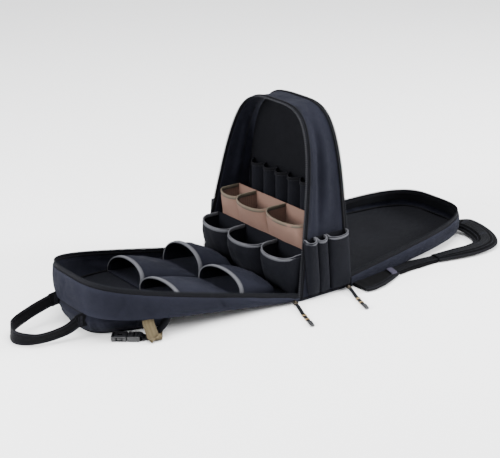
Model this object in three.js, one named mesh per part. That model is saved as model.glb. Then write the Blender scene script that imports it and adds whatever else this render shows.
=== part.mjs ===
// A tool backpack, unzipped and laid open: an upright centre compartment on its base, a front tray
// folded down towards -Y and a back tray folded down towards +Y. Millimetres, +Z up. The origin is
// the middle of the underside of the centre compartment's base. The side that faces +X is called
// right here. Left and right pieces are mirrored unless a table gives them their own row.
import * as THREE from 'three';

// Driving dimensions of the bag and its outline
const bagWidth = 340;
const centreHeight = 375;
const baseDepth = 136;
const topDepth = 69;
const archTaper = 0.247;
const archSideCurve = 3.83;
const archTopCurve = 5.74;

// Cloth, padding and the spaces that sewn pieces keep between them
const wallThick = 3;
const pocketWall = 2;
const webbingThick = 2;
const baseThick = 5;
const panelThick = 4;
const seamGap = 0.3;

// Zips: the tape that stands up from a wall's edge
const zipTape = 8;
const zipThick = 2.4;

// Centre compartment
const dividerSetBack = 20;
const lowerPocketHeight = 90;
const lowerPocketSide = 30;
const lowerPocketCrown = 38;
const tanPocketHeight = 147;
const tanPocketSide = 42;
const tanPocketCrown = 26;
const tanRowBack = 28;
const pocketRowMargin = 14;
const sleeveCount = 6;
const sleevePitch = 42;
const sleeveDepth = 20;
const sleeveBottom = 60;
const sleeveHeight = 152;
const sidePocketHeight = 113;
const sidePocketLift = 12;
const sidePocketSide = 6;
const sidePocketCrown = 9;
const centreFoldDepth = 4;

// Front tray: heights over the floor of its underside and its rim, at the hinge and at the end
const frontTrayLength = 427;
const frontFloorAtHinge = 4.5;
const frontFloorAtEnd = 48.5;
const frontRimAtHinge = 16.5;
const frontRimAtEnd = 118;
const trayWallBulge = 3;
const trayPocketSide = 9;
const trayPocketCrown = 32;
const trayPocketWidth = 133;
const trayPocketMiddle = 10;

// Outer pocket under the front tray's end
const outerPocketStart = 244;
const outerPocketLength = 186;
const outerPocketWide = 124;
const outerPocketNarrow = 72;
const outerPocketSlope = 21;
const outerPocketCorner = 4.5;

// Handle, side strap and buckle
const handleReach = 117;
const handleWidth = 25;
const handleThick = 3;
const sideStrapWidth = 25;
const buckleWidth = 30;
const buckleThick = 10;
const socketLength = 31;
const plugLength = 25;
const buckleBearing = 51;

// Back tray
const backTrayLength = 402.5;
const backFloorAtHinge = 0.4;
const backFloorAtEnd = 20.6;
const backRimAtHinge = 29.4;
const backRimAtEnd = 63;

// Shoulder straps and what holds their lower ends
const strapWidth = 50;
const strapThick = 12;
const wingThick = 8;
const strapWebbing = 25;

// Zip sliders and pulls
const sliderLength = 14;
const sliderWidth = 10;
const sliderThick = 7;
const pullLength = 84;
const pullWidth = 9;
const pullThick = 2.5;
const pullTipLength = 20;

// How finely curves are divided
const archSteps = 36;
const crownSteps = 8;
const outlineSteps = 28;

const halfWidth = bagWidth / 2;
const halfDepth = baseDepth / 2;
const mix = THREE.MathUtils.lerp;
const radians = THREE.MathUtils.degToRad;

const finishes = {
  cloth: { color: 0x2c2d36, roughness: 0.85, metalness: 0 },
  pocketCloth: { color: 0x26272e, roughness: 0.85, metalness: 0 },
  tanCloth: { color: 0x9a7c6c, roughness: 0.85, metalness: 0 },
  padding: { color: 0x191a1d, roughness: 0.9, metalness: 0 },
  webbing: { color: 0x1b1c1e, roughness: 0.7, metalness: 0 },
  khaki: { color: 0x7d6f4d, roughness: 0.75, metalness: 0 },
  zip: { color: 0x4a4b50, roughness: 0.5, metalness: 0 },
  plastic: { color: 0x121314, roughness: 0.4, metalness: 0 },
  metal: { color: 0x8c7a58, roughness: 0.35, metalness: 1 },
};

const backpack = new THREE.Group();

function addPiece(name, geometry, finish, parent = backpack) {
  const mesh = new THREE.Mesh(geometry, new THREE.MeshStandardMaterial(finishes[finish]));
  mesh.name = name;
  parent.add(mesh);
  return mesh;
}

// A closed solid through rings of equally many points, with both ends closed. A ring of four
// points is closed by two triangles and any other ring by a fan round its middle.
function loft(rings) {
  const size = rings[0].length;
  const points = rings.flat();
  const faces = [];
  for (let ring = 0; ring < rings.length - 1; ring += 1) {
    for (let i = 0; i < size; i += 1) {
      const a = ring * size + i;
      const b = ring * size + ((i + 1) % size);
      faces.push([a, b, b + size], [a, b + size, a + size]);
    }
  }
  const closeEnd = (start, ring, turn) => {
    const cap = [];
    if (size === 4) {
      cap.push([start, start + 1, start + 2], [start, start + 2, start + 3]);
    } else {
      const middle = ring.reduce((sum, point) => sum.add(point), new THREE.Vector3());
      points.push(middle.divideScalar(size));
      for (let i = 0; i < size; i += 1) {
        cap.push([points.length - 1, start + i, start + ((i + 1) % size)]);
      }
    }
    faces.push(...cap.map(([a, b, c]) => (turn ? [a, c, b] : [a, b, c])));
  };
  closeEnd(0, rings[0], true);
  closeEnd((rings.length - 1) * size, rings[rings.length - 1], false);
  const volume = faces.reduce((sum, [a, b, c]) => {
    const normal = new THREE.Vector3().crossVectors(points[b], points[c]);
    return sum + points[a].dot(normal);
  }, 0);
  const outward = volume > 0 ? faces : faces.map(([a, b, c]) => [a, c, b]);
  const geometry = new THREE.BufferGeometry().setFromPoints(points);
  geometry.setIndex(outward.flat());
  geometry.computeVertexNormals();
  return geometry;
}

// Half of the bag's width at a share of the arch's rise
function archReach(rise) {
  const sine = rise ** (archTopCurve / 2);
  const cosine = Math.sqrt(Math.max(0, 1 - sine * sine));
  return halfWidth * cosine ** (2 / archSideCurve) * (1 - archTaper * rise);
}

// The bag's arched outline, from the right foot over the top to the left foot, as stations that
// are equally far apart, each with its outward direction
function archStations(length) {
  const fine = 720;
  const curve = [];
  for (let i = 0; i <= fine; i += 1) {
    const angle = (Math.PI * i) / fine;
    const rise = Math.min(1, Math.sin(angle)) ** (2 / archTopCurve);
    const side = Math.cos(angle) < 0 ? -1 : 1;
    curve.push(new THREE.Vector2(side * archReach(i % fine ? rise : 0), length * rise));
  }
  const run = [0];
  for (let i = 1; i <= fine; i += 1) {
    run.push(run[i - 1] + curve[i].distanceTo(curve[i - 1]));
  }
  const stations = [];
  let at = 0;
  for (let step = 0; step <= archSteps; step += 1) {
    const goal = (run[fine] * step) / archSteps;
    while (at < fine - 1 && run[at + 1] < goal) {
      at += 1;
    }
    const share = (goal - run[at]) / (run[at + 1] - run[at]);
    const point = curve[at].clone().lerp(curve[at + 1], share);
    const along = curve[at + 1].clone().sub(curve[at]).normalize();
    const foot = step === 0 || step === archSteps;
    const normal = foot ? new THREE.Vector2(Math.sign(point.x), 0) : new THREE.Vector2(along.y, -along.x);
    stations.push({ point, normal, share: step / archSteps });
  }
  return stations;
}

// A wall along the arch: levels are shares of the wall's height, and place puts a point of a
// station on a level, moved in from the outer face
function archWall(stations, levels, inset, thick, place) {
  return loft(stations.map((station) => [
    ...levels.map((level) => place(station, level, inset)),
    ...[...levels].reverse().map((level) => place(station, level, inset + thick)),
  ]));
}

// A plate that fills the arch, from one face to the other
function archPlate(stations, inset, place) {
  const ring = (face) => stations.map(({ point, normal }) => {
    const moved = point.clone().addScaledVector(normal, -inset);
    return place(moved.x, Math.max(moved.y, seamGap), face);
  });
  return loft([ring(0), ring(1)]);
}

// A ribbon along a table of rows. Each row has a place, the bearing and tilt in degrees of the
// ribbon's width, and its width and thickness. Round ribbons have a full, padded section.
function ribbon(rows, steps, round) {
  const route = new THREE.CatmullRomCurve3(rows.map((row) => row.at), false, 'centripetal');
  const section = round
    ? [[0.5, 0], [0.4, 0.5], [0, 0.5], [-0.4, 0.5], [-0.5, 0], [-0.4, -0.5], [0, -0.5], [0.4, -0.5]]
    : [[0.5, 0.5], [-0.5, 0.5], [-0.5, -0.5], [0.5, -0.5]];
  const rings = [];
  for (let step = 0; step <= steps; step += 1) {
    const share = step / steps;
    const place = share * (rows.length - 1);
    const row = Math.min(rows.length - 2, Math.floor(place));
    const between = (column) => mix(rows[row][column], rows[row + 1][column], place - row);
    const centre = route.getPoint(share);
    const ahead = route.getTangent(share);
    const bearing = radians(between('bearing'));
    const tilt = radians(between('tilt'));
    const side = new THREE.Vector3(
      Math.cos(bearing) * Math.cos(tilt),
      Math.sin(bearing) * Math.cos(tilt),
      Math.sin(tilt),
    );
    side.addScaledVector(ahead, -side.dot(ahead)).normalize();
    const face = new THREE.Vector3().crossVectors(ahead, side);
    rings.push(section.map(([across, out]) => centre.clone()
      .addScaledVector(side, across * between('wide'))
      .addScaledVector(face, out * between('thick'))));
  }
  return loft(rings);
}

// The section of a pocket: a straight back and a front that bows out by crown past its sides.
// Each point holds its place across, its place outwards and how far forward it bows, from 0 to 1.
function pocketSection(half, side, crown, inset) {
  const reach = half - inset;
  const edge = Math.max(side - inset, inset + 0.5);
  const section = [[-reach, inset, 0], [0, inset, 0], [reach, inset, 0]];
  for (let i = 0; i <= crownSteps; i += 1) {
    const angle = (Math.PI * i) / crownSteps;
    const bow = Math.sin(angle) ** 0.8;
    section.push([reach * Math.cos(angle), edge + crown * bow, bow]);
  }
  return section;
}

// A pocket open at its mouth. Rows go from its closed end to its mouth, and hold the share of the
// height, of the width, of the side's depth and of the crown, and how far the mouth's front dips.
function pocketShell(rows, half, side, crown, height, place) {
  const ring = (row, inset, lift) => pocketSection(
    half * row.wide,
    side * row.side,
    crown * row.crown,
    inset,
  ).map(([across, out, bow]) => place(across, out, height * (row.up - row.dip * bow) + lift));
  const outer = rows.map((row) => ring(row, 0, 0));
  const inner = rows.slice(1).reverse().map((row) => ring(row, pocketWall, 0));
  return loft([...outer, ...inner, ring(rows[0], pocketWall, pocketWall)]);
}

// How far back the leaning front rim of the centre compartment lies at a height
function frontRim(height) {
  return -halfDepth + ((baseDepth - topDepth) * height) / centreHeight;
}

function addCentre() {
  const floor = baseThick + seamGap;
  const stations = archStations(centreHeight - floor);

  const outline = new THREE.Shape();
  const corner = 2 * baseThick;
  outline.moveTo(-halfWidth + corner, -halfDepth);
  outline.absarc(halfWidth - corner, -halfDepth + corner, corner, -Math.PI / 2, 0);
  outline.absarc(halfWidth - corner, halfDepth - corner, corner, 0, Math.PI / 2);
  outline.absarc(-halfWidth + corner, halfDepth - corner, corner, Math.PI / 2, Math.PI);
  outline.absarc(-halfWidth + corner, -halfDepth + corner, corner, Math.PI, Math.PI * 1.5);
  addPiece('centre_base', new THREE.ExtrudeGeometry(outline, {
    depth: baseThick,
    bevelEnabled: false,
    curveSegments: 5,
  }), 'cloth');

  // Soft creases that run down the side walls, as shares of the arch and of the wall's depth
  const creases = [
    { from: 0.2, to: 0.42, across: 0.3, push: -1 },
    { from: 0.58, to: 0.8, across: 0.3, push: -1 },
    { from: 0.44, to: 0.56, across: 0.3, push: -0.4 },
  ];
  const relief = (share, level) => creases.reduce((sum, { from, to, across, push }) => {
    const run = THREE.MathUtils.clamp((share - from) / (to - from), 0, 1);
    const near = Math.max(0, 1 - Math.abs(level - across) / 0.3);
    return sum + push * centreFoldDepth * Math.sin(Math.PI * run) * near;
  }, 0);
  const wallPlace = (from, to) => ({ point, normal, share }, level, inset) => {
    const move = relief(share, level) - inset;
    const across = point.x + normal.x * move;
    const height = floor + point.y + normal.y * move;
    return new THREE.Vector3(across, mix(from(height), to(height), level), height);
  };
  const backRim = () => halfDepth;
  const frontEdge = (height) => frontRim(height) + zipTape;
  const backEdge = () => halfDepth - zipTape;
  addPiece('centre_gusset', archWall(stations, [0, 0.3, 0.6, 1], 0, wallThick, wallPlace(
    (height) => frontEdge(height) + seamGap,
    () => backEdge() - seamGap,
  )), 'cloth');
  const zipPlace = (from, to) => (station, level, inset) => (
    wallPlace(from, to)({ ...station, share: 0 }, level, inset)
  );
  const zipInset = (wallThick - zipThick) / 2;
  addPiece('centre_front_zip', archWall(
    stations, [0, 1], zipInset, zipThick, zipPlace(frontRim, frontEdge),
  ), 'zip');
  addPiece('centre_back_zip', archWall(
    stations, [0, 1], zipInset, zipThick, zipPlace(backEdge, backRim),
  ), 'zip');

  const dividerBack = halfDepth - dividerSetBack;
  addPiece('centre_back_panel', archPlate(
    stations,
    wallThick + seamGap,
    (across, height, face) => (
      new THREE.Vector3(across, dividerBack - panelThick * face, floor + height)
    ),
  ), 'cloth');

  addPocketRows(floor, dividerBack - panelThick);
  addSleeves(dividerBack - panelThick - seamGap);
  addSidePockets();
}

// The two stepped rows of pockets in front of the divider
function addPocketRows(floor, dividerFront) {
  const tanBack = dividerFront - tanRowBack + seamGap;
  const lowerBack = tanBack - tanPocketSide - tanPocketCrown * 0.3 - seamGap;
  const rowHalf = halfWidth - pocketRowMargin;
  const lowerRows = [
    { up: 0, wide: 0.96, side: 1, crown: 0.05, dip: 0 },
    { up: 0.3, wide: 1, side: 1, crown: 0.6, dip: 0 },
    { up: 0.7, wide: 1, side: 1, crown: 1, dip: 0 },
    { up: 1, wide: 1, side: 1, crown: 0.92, dip: 0.07 },
  ];
  const tanRows = [
    { up: 0, wide: 0.96, side: 1, crown: 0.1, dip: 0 },
    { up: 0.6, wide: 1, side: 1, crown: 0.2, dip: 0 },
    { up: 0.82, wide: 1, side: 1, crown: 0.8, dip: 0 },
    { up: 1, wide: 1, side: 1, crown: 1, dip: 0.04 },
  ];
  // Each pocket's ends as shares of half of the row's length, and how full it stands
  const rows = [
    {
      name: 'lower_pocket', finish: 'pocketCloth', back: lowerBack, sections: lowerRows,
      side: lowerPocketSide, crown: lowerPocketCrown, height: lowerPocketHeight,
      pockets: [
        { place: 'left', from: -1, to: -0.36, full: 0.75 },
        { place: 'middle', from: -0.36, to: 0.36, full: 1 },
        { place: 'right', from: 0.36, to: 1, full: 0.85 },
      ],
    },
    {
      name: 'tan_pocket', finish: 'tanCloth', back: tanBack, sections: tanRows,
      side: tanPocketSide, crown: tanPocketCrown, height: tanPocketHeight,
      pockets: [
        { place: 'left', from: -0.95, to: -0.54, full: 0.55 },
        { place: 'middle', from: -0.54, to: 0.12, full: 1 },
        { place: 'right', from: 0.12, to: 0.9, full: 1 },
      ],
    },
  ];
  rows.forEach((row) => row.pockets.forEach(({ place, from, to, full }) => {
    const centre = (rowHalf * (from + to)) / 2;
    const half = (rowHalf * (to - from)) / 2 - seamGap;
    addPiece(`${row.name}_${place}`, pocketShell(
      row.sections, half, row.side, row.crown * full, row.height,
      (across, out, rise) => new THREE.Vector3(centre + across, row.back - out, floor + rise),
    ), row.finish);
  }));
}

// One strip of cloth sewn to the divider between sleeves, so that it bows out over each of them
function addSleeves(back) {
  const half = (sleeveCount * sleevePitch) / 2;
  const sleeveSteps = 6;
  const count = sleeveCount * sleeveSteps;
  const front = [];
  const rear = [];
  for (let i = 0; i <= count; i += 1) {
    const across = -half + (2 * half * i) / count;
    const bow = Math.abs(Math.sin((Math.PI * i) / sleeveSteps)) ** 0.7;
    front.push(new THREE.Vector2(across, pocketWall + (sleeveDepth - pocketWall) * bow));
    rear.unshift(new THREE.Vector2(across, (sleeveDepth - pocketWall) * bow));
  }
  const strip = new THREE.ExtrudeGeometry(new THREE.Shape([...front, ...rear]), {
    depth: sleeveHeight,
    bevelEnabled: false,
  });
  const sleeves = addPiece('driver_sleeves', strip, 'pocketCloth');
  sleeves.rotation.z = Math.PI;
  sleeves.position.set(0, back, sleeveBottom);
}

// The pockets on the outside of the two side walls
function addSidePockets() {
  const sections = [
    { up: 0, wide: 0.9, side: 1, crown: 0.3, dip: 0 },
    { up: 0.25, wide: 1, side: 1, crown: 0.9, dip: 0 },
    { up: 0.8, wide: 1, side: 1, crown: 1, dip: 0 },
    { up: 1, wide: 1, side: 1, crown: 1, dip: 0.05 },
  ];
  // Ends as shares of the base's depth from its front edge, and how full each pocket stands
  const pockets = [
    { place: 'front', from: 0.175, to: 0.36, full: 0.9 },
    { place: 'middle', from: 0.38, to: 0.555, full: 0.8 },
    { place: 'back', from: 0.59, to: 0.97, full: 1 },
  ];
  [['right', 1], ['left', -1]].forEach(([sideName, side]) => {
    pockets.forEach(({ place, from, to, full }) => {
      const centre = -halfDepth + (baseDepth * (from + to)) / 2;
      const half = (baseDepth * (to - from)) / 2;
      addPiece(`side_pocket_${sideName}_${place}`, pocketShell(
        sections, half, sidePocketSide, sidePocketCrown * full, sidePocketHeight,
        (across, out, rise) => {
          const height = sidePocketLift + rise;
          const wall = archReach((height - baseThick - seamGap) / (centreHeight - baseThick - seamGap));
          return new THREE.Vector3(side * (wall + seamGap + out), centre + across, height);
        },
      ), 'pocketCloth');
    });
  });
}

// A tray's own measures, from its hinge on the base's edge (run 0) to the arch's top (run 1).
// Facing is -1 for the front tray and 1 for the back tray.
function trayFrame(facing, length, floorAtHinge, floorAtEnd, rimAtHinge, rimAtEnd) {
  const hinge = halfDepth + seamGap;
  return {
    length,
    hinge,
    facing,
    yAt: (run) => facing * (hinge + run),
    floorAt: (run) => mix(floorAtHinge, floorAtEnd, run / length),
    rimAt: (run) => mix(rimAtHinge, rimAtEnd, run / length),
    reachAt: (run) => archReach(run / length),
  };
}

const frontTray = trayFrame(
  -1, frontTrayLength, frontFloorAtHinge, frontFloorAtEnd, frontRimAtHinge, frontRimAtEnd,
);
const backTray = trayFrame(
  1, backTrayLength, backFloorAtHinge, backFloorAtEnd, backRimAtHinge, backRimAtEnd,
);

// A tray's floor panel, its wall and the zip tape on its rim. Waves are soft bulges of the wall,
// as shares of the way round the arch.
function addTray(name, tray, waves) {
  const stations = archStations(tray.length);
  const bulge = (share, level) => {
    const wave = waves.reduce((sum, { at, wide, push }) => (
      sum + push * Math.exp(-(((share - at) / wide) ** 2))
    ), 0.35);
    return trayWallBulge * (wave * Math.sin(Math.PI * level) - 0.6 * (1 - level) ** 3);
  };
  const place = (from, to, bulged) => ({ point, normal, share }, level, inset) => {
    const move = bulged * bulge(share, level) - inset;
    const run = Math.max(0, point.y + normal.y * move);
    const height = mix(from(run), to(run), level);
    return new THREE.Vector3(point.x + normal.x * move, tray.yAt(run), height);
  };
  const tapeFoot = (run) => tray.rimAt(run) - zipTape;
  const wallTop = (run) => tapeFoot(run) - seamGap;
  addPiece(`${name}_gusset`, archWall(
    stations, [0, 0.45, 1], 0, wallThick, place(tray.floorAt, wallTop, 1),
  ), 'cloth');
  const zipInset = (wallThick - zipThick) / 2;
  addPiece(`${name}_zip`, archWall(
    stations, [0, 1], zipInset, zipThick, place(tapeFoot, tray.rimAt, 0),
  ), 'zip');
  addPiece(`${name}_panel`, archPlate(
    stations,
    wallThick + 0.6 * trayWallBulge + seamGap,
    (across, run, face) => (
      new THREE.Vector3(across, tray.yAt(run), tray.floorAt(run) + panelThick * face)
    ),
  ), 'cloth');
}

// The pockets that lie on the front tray's floor, with their mouths towards its end
function addTrayPockets() {
  const sections = [
    { up: 0, wide: 0.94, side: 0.75, crown: 0.12, dip: 0 },
    { up: 0.35, wide: 1, side: 1, crown: 0.6, dip: 0 },
    { up: 0.75, wide: 1, side: 1, crown: 1, dip: 0 },
    { up: 1, wide: 1, side: 1, crown: 1, dip: 0.08 },
  ];
  // Columns beside the tray's middle, and rows as shares of the tray's length. Full is a share of
  // the crown, and firm says how far that fullness reaches down to the pocket's foot.
  const pockets = [
    { place: 'far_hinge', side: -1, from: 0.07, to: 0.28, wide: 1, full: 1.5, firm: 0.45 },
    { place: 'near_hinge', side: 1, from: 0.07, to: 0.28, wide: 1.07, full: 1.15, firm: 0.45 },
    { place: 'far_end', side: -1, from: 0.29, to: 0.615, wide: 0.93, full: 1.1, firm: 0 },
    { place: 'near_end', side: 1, from: 0.29, to: 0.615, wide: 1.02, full: 0.9, firm: 0 },
  ];
  pockets.forEach(({ place, side, from, to, wide, full, firm }) => {
    const half = (trayPocketWidth * wide) / 2;
    const centre = side * (half + 2 * seamGap) - trayPocketMiddle;
    const rows = sections.map((row) => ({ ...row, crown: mix(row.crown, 1, firm) }));
    addPiece(`tray_pocket_${place}`, pocketShell(
      rows, half, trayPocketSide, trayPocketCrown * full, frontTray.length * (to - from),
      (across, out, rise) => {
        const run = frontTray.length * from + rise;
        const height = frontTray.floorAt(run) + panelThick + seamGap + out;
        return new THREE.Vector3(centre + across, frontTray.yAt(run), height);
      },
    ), 'pocketCloth');
  });
}

// The pouch under the front tray's end: an open dish whose rim meets the tray's underside
function addOuterPocket() {
  const middle = frontTray.hinge + outerPocketStart + outerPocketLength / 2;
  // Heights as shares of the space under the tray, and how far the wall has come in by then
  const levels = [
    { rise: 0, slope: 1 },
    { rise: 0.18, slope: 0.55 },
    { rise: 0.7, slope: 0 },
    { rise: 1, slope: 0.3 },
  ];
  const ring = ({ rise, slope }, inset, lift) => {
    const points = [];
    for (let i = 0; i < outlineSteps; i += 1) {
      const angle = (2 * Math.PI * i) / outlineSteps;
      const round = (value) => Math.sign(value) * Math.abs(value) ** (2 / outerPocketCorner);
      const lengthwise = round(Math.sin(angle));
      const slack = outerPocketSlope * slope + inset;
      const reach = mix(outerPocketWide, outerPocketNarrow, (1 + lengthwise) / 2) - slack;
      const distance = middle + lengthwise * (outerPocketLength / 2 - slack);
      const room = frontTray.floorAt(distance - frontTray.hinge) - seamGap;
      points.push(new THREE.Vector3(
        reach * round(Math.cos(angle)), -distance, room * rise + lift,
      ));
    }
    return points;
  };
  addPiece('outer_pocket', loft([
    ...levels.map((level) => ring(level, 0, 0)),
    ...levels.slice(1).reverse().map((level) => ring(level, pocketWall, 0)),
    ring(levels[0], pocketWall, pocketWall),
  ]), 'cloth');
}

// The webbing handle that leaves the end wall and droops to the floor, standing on its edge
function addGrabHandle() {
  const wall = frontTray.hinge + outerPocketStart + outerPocketLength + 2 * seamGap;
  const lowest = handleWidth / 2 + webbingThick;
  // The pouch's end wall rounds away from the handle's two roots
  const nearEnd = mix(outerPocketWide, outerPocketNarrow, 0.95);
  const wallAt = (across) => {
    const inner = Math.max(0, Math.abs(across) - handleThick / 2);
    const cosine = (inner / nearEnd) ** (outerPocketCorner / 2);
    const lengthwise = Math.sqrt(1 - cosine * cosine) ** (2 / outerPocketCorner);
    return wall - (outerPocketLength / 2) * (1 - lengthwise);
  };
  // Places as shares of half the bag's width, of the handle's reach and of its width
  const rows = [
    { across: 0.27, out: 0, rise: 0.8, bearing: 0, tilt: 90 },
    { across: 0.27, out: 0.06, rise: 0.78, bearing: 0, tilt: 90 },
    { across: 0.25, out: 0.28, rise: 0.28, bearing: 0, tilt: 80 },
    { across: 0.19, out: 0.76, rise: 0, bearing: 0, tilt: 70 },
    { across: 0, out: 1, rise: 0, bearing: 90, tilt: 75 },
    { across: -0.25, out: 0.88, rise: 0.1, bearing: 150, tilt: 75 },
    { across: -0.35, out: 0.5, rise: 0.55, bearing: 180, tilt: 85 },
    { across: -0.34, out: 0.06, rise: 1.18, bearing: 180, tilt: 90 },
    { across: -0.34, out: 0, rise: 1.2, bearing: 180, tilt: 90 },
  ];
  addPiece('grab_handle', ribbon(rows.map((row) => ({
    at: new THREE.Vector3(
      halfWidth * row.across,
      -mix(wallAt(halfWidth * row.across), wall + handleReach, row.out),
      lowest + handleWidth * row.rise,
    ),
    bearing: row.bearing,
    tilt: row.tilt,
    wide: handleWidth,
    thick: handleThick,
  })), 24, false), 'webbing');
}

// The khaki strap that drops from the near side of the front tray and folds back along the floor.
// Its rows hold places as shares of its width and of the height under the tray.
function addSideStrap() {
  const run = frontTray.length * 0.77;
  const top = frontTray.floorAt(run - sideStrapWidth / 2) - seamGap;
  const wall = frontTray.reachAt(run);
  const rows = [
    { across: -0.12, along: 0.1, rise: 1, bearing: 85 },
    { across: -0.04, along: 0.1, rise: 0.78, bearing: 85 },
    { across: 0.35, along: 0.12, rise: 0.42, bearing: 85 },
    { across: 0.75, along: 0.16, rise: 0.16, bearing: 82 },
    { across: 0.94, along: 0.1, rise: 0.15, bearing: 82 },
    { across: 0.8, along: 0.02, rise: 0.01, bearing: 74 },
    { across: 0.3, along: -0.32, rise: 0, bearing: 62 },
    { across: -0.6, along: -0.92, rise: 0, bearing: 58 },
  ];
  const lowest = webbingThick;
  addPiece('khaki_strap', ribbon(rows.map(({ across, along, rise, bearing }) => ({
    at: new THREE.Vector3(
      wall + sideStrapWidth * across,
      frontTray.yAt(run + sideStrapWidth * along),
      mix(lowest, top, rise),
    ),
    bearing,
    tilt: 0,
    wide: sideStrapWidth,
    thick: webbingThick,
  })), 20, false), 'khaki');
}

// The fastened side release buckle and the webbing that it hangs on
function addBuckle() {
  const buckle = new THREE.Group();
  const run = frontTray.length * 0.86;
  const across = frontTray.reachAt(run) - buckleWidth / 4;
  buckle.position.set(across, frontTray.yAt(run), seamGap);
  buckle.rotation.z = radians(buckleBearing) + Math.PI;
  backpack.add(buckle);

  const half = buckleWidth / 2;
  const window = buckleWidth / 6;
  const bar = buckleThick * 0.4;
  const extrude = (shape) => new THREE.ExtrudeGeometry(shape, {
    depth: buckleThick,
    bevelEnabled: false,
    curveSegments: 6,
  });
  const frame = (length, open) => {
    const shape = new THREE.Shape();
    shape.moveTo(0, -half);
    shape.lineTo(length - bar, -half * 0.92);
    shape.quadraticCurveTo(length, -half * 0.9, length, -half * 0.6);
    shape.lineTo(length, half * 0.6);
    shape.quadraticCurveTo(length, half * 0.9, length - bar, half * 0.92);
    shape.lineTo(0, half);
    const hole = new THREE.Path();
    hole.moveTo(open.from, -open.half);
    hole.lineTo(open.from, open.half);
    hole.lineTo(open.to, open.half);
    hole.lineTo(open.to, -open.half);
    shape.holes.push(hole);
    return shape;
  };
  addPiece('buckle_socket', extrude(frame(
    socketLength, { from: socketLength * 0.35, to: socketLength * 0.65, half: window },
  )), 'plastic', buckle);
  const plug = addPiece('buckle_plug', extrude(frame(
    plugLength, { from: plugLength * 0.6, to: plugLength * 0.8, half: half * 0.75 },
  )), 'plastic', buckle);
  plug.rotation.z = Math.PI;
  plug.position.x = -seamGap;

  const turn = radians(buckleBearing);
  const reach = plugLength + webbingThick;
  const low = seamGap + buckleThick / 2;
  const start = new THREE.Vector3(
    across + reach * Math.cos(turn), frontTray.yAt(run) + reach * Math.sin(turn), low,
  );
  const rootRun = frontTray.length * 0.685;
  const root = new THREE.Vector3(
    frontTray.reachAt(rootRun) - wallThick,
    frontTray.yAt(rootRun),
    frontTray.floorAt(rootRun - webbingThick) - webbingThick,
  );
  // Places between the buckle and the tray's edge, with a bow to the side as a share of the way
  const rows = [
    { share: 0, bow: 0, rise: 0, bearing: -39 },
    { share: 0.25, bow: 0.11, rise: 0, bearing: -25 },
    { share: 0.5, bow: 0.04, rise: 0.06, bearing: -12 },
    { share: 0.78, bow: 0.03, rise: 0.5, bearing: -4 },
    { share: 1, bow: 0, rise: 1, bearing: 0 },
  ];
  const way = start.distanceTo(root);
  addPiece('buckle_strap', ribbon(rows.map(({ share, bow, rise, bearing }) => ({
    at: new THREE.Vector3(
      mix(start.x, root.x, share) + way * bow, mix(start.y, root.y, share), mix(low, root.z, rise),
    ),
    bearing,
    tilt: 0,
    wide: sideStrapWidth * 0.88,
    thick: webbingThick,
  })), 12, false), 'webbing');
}

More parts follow.
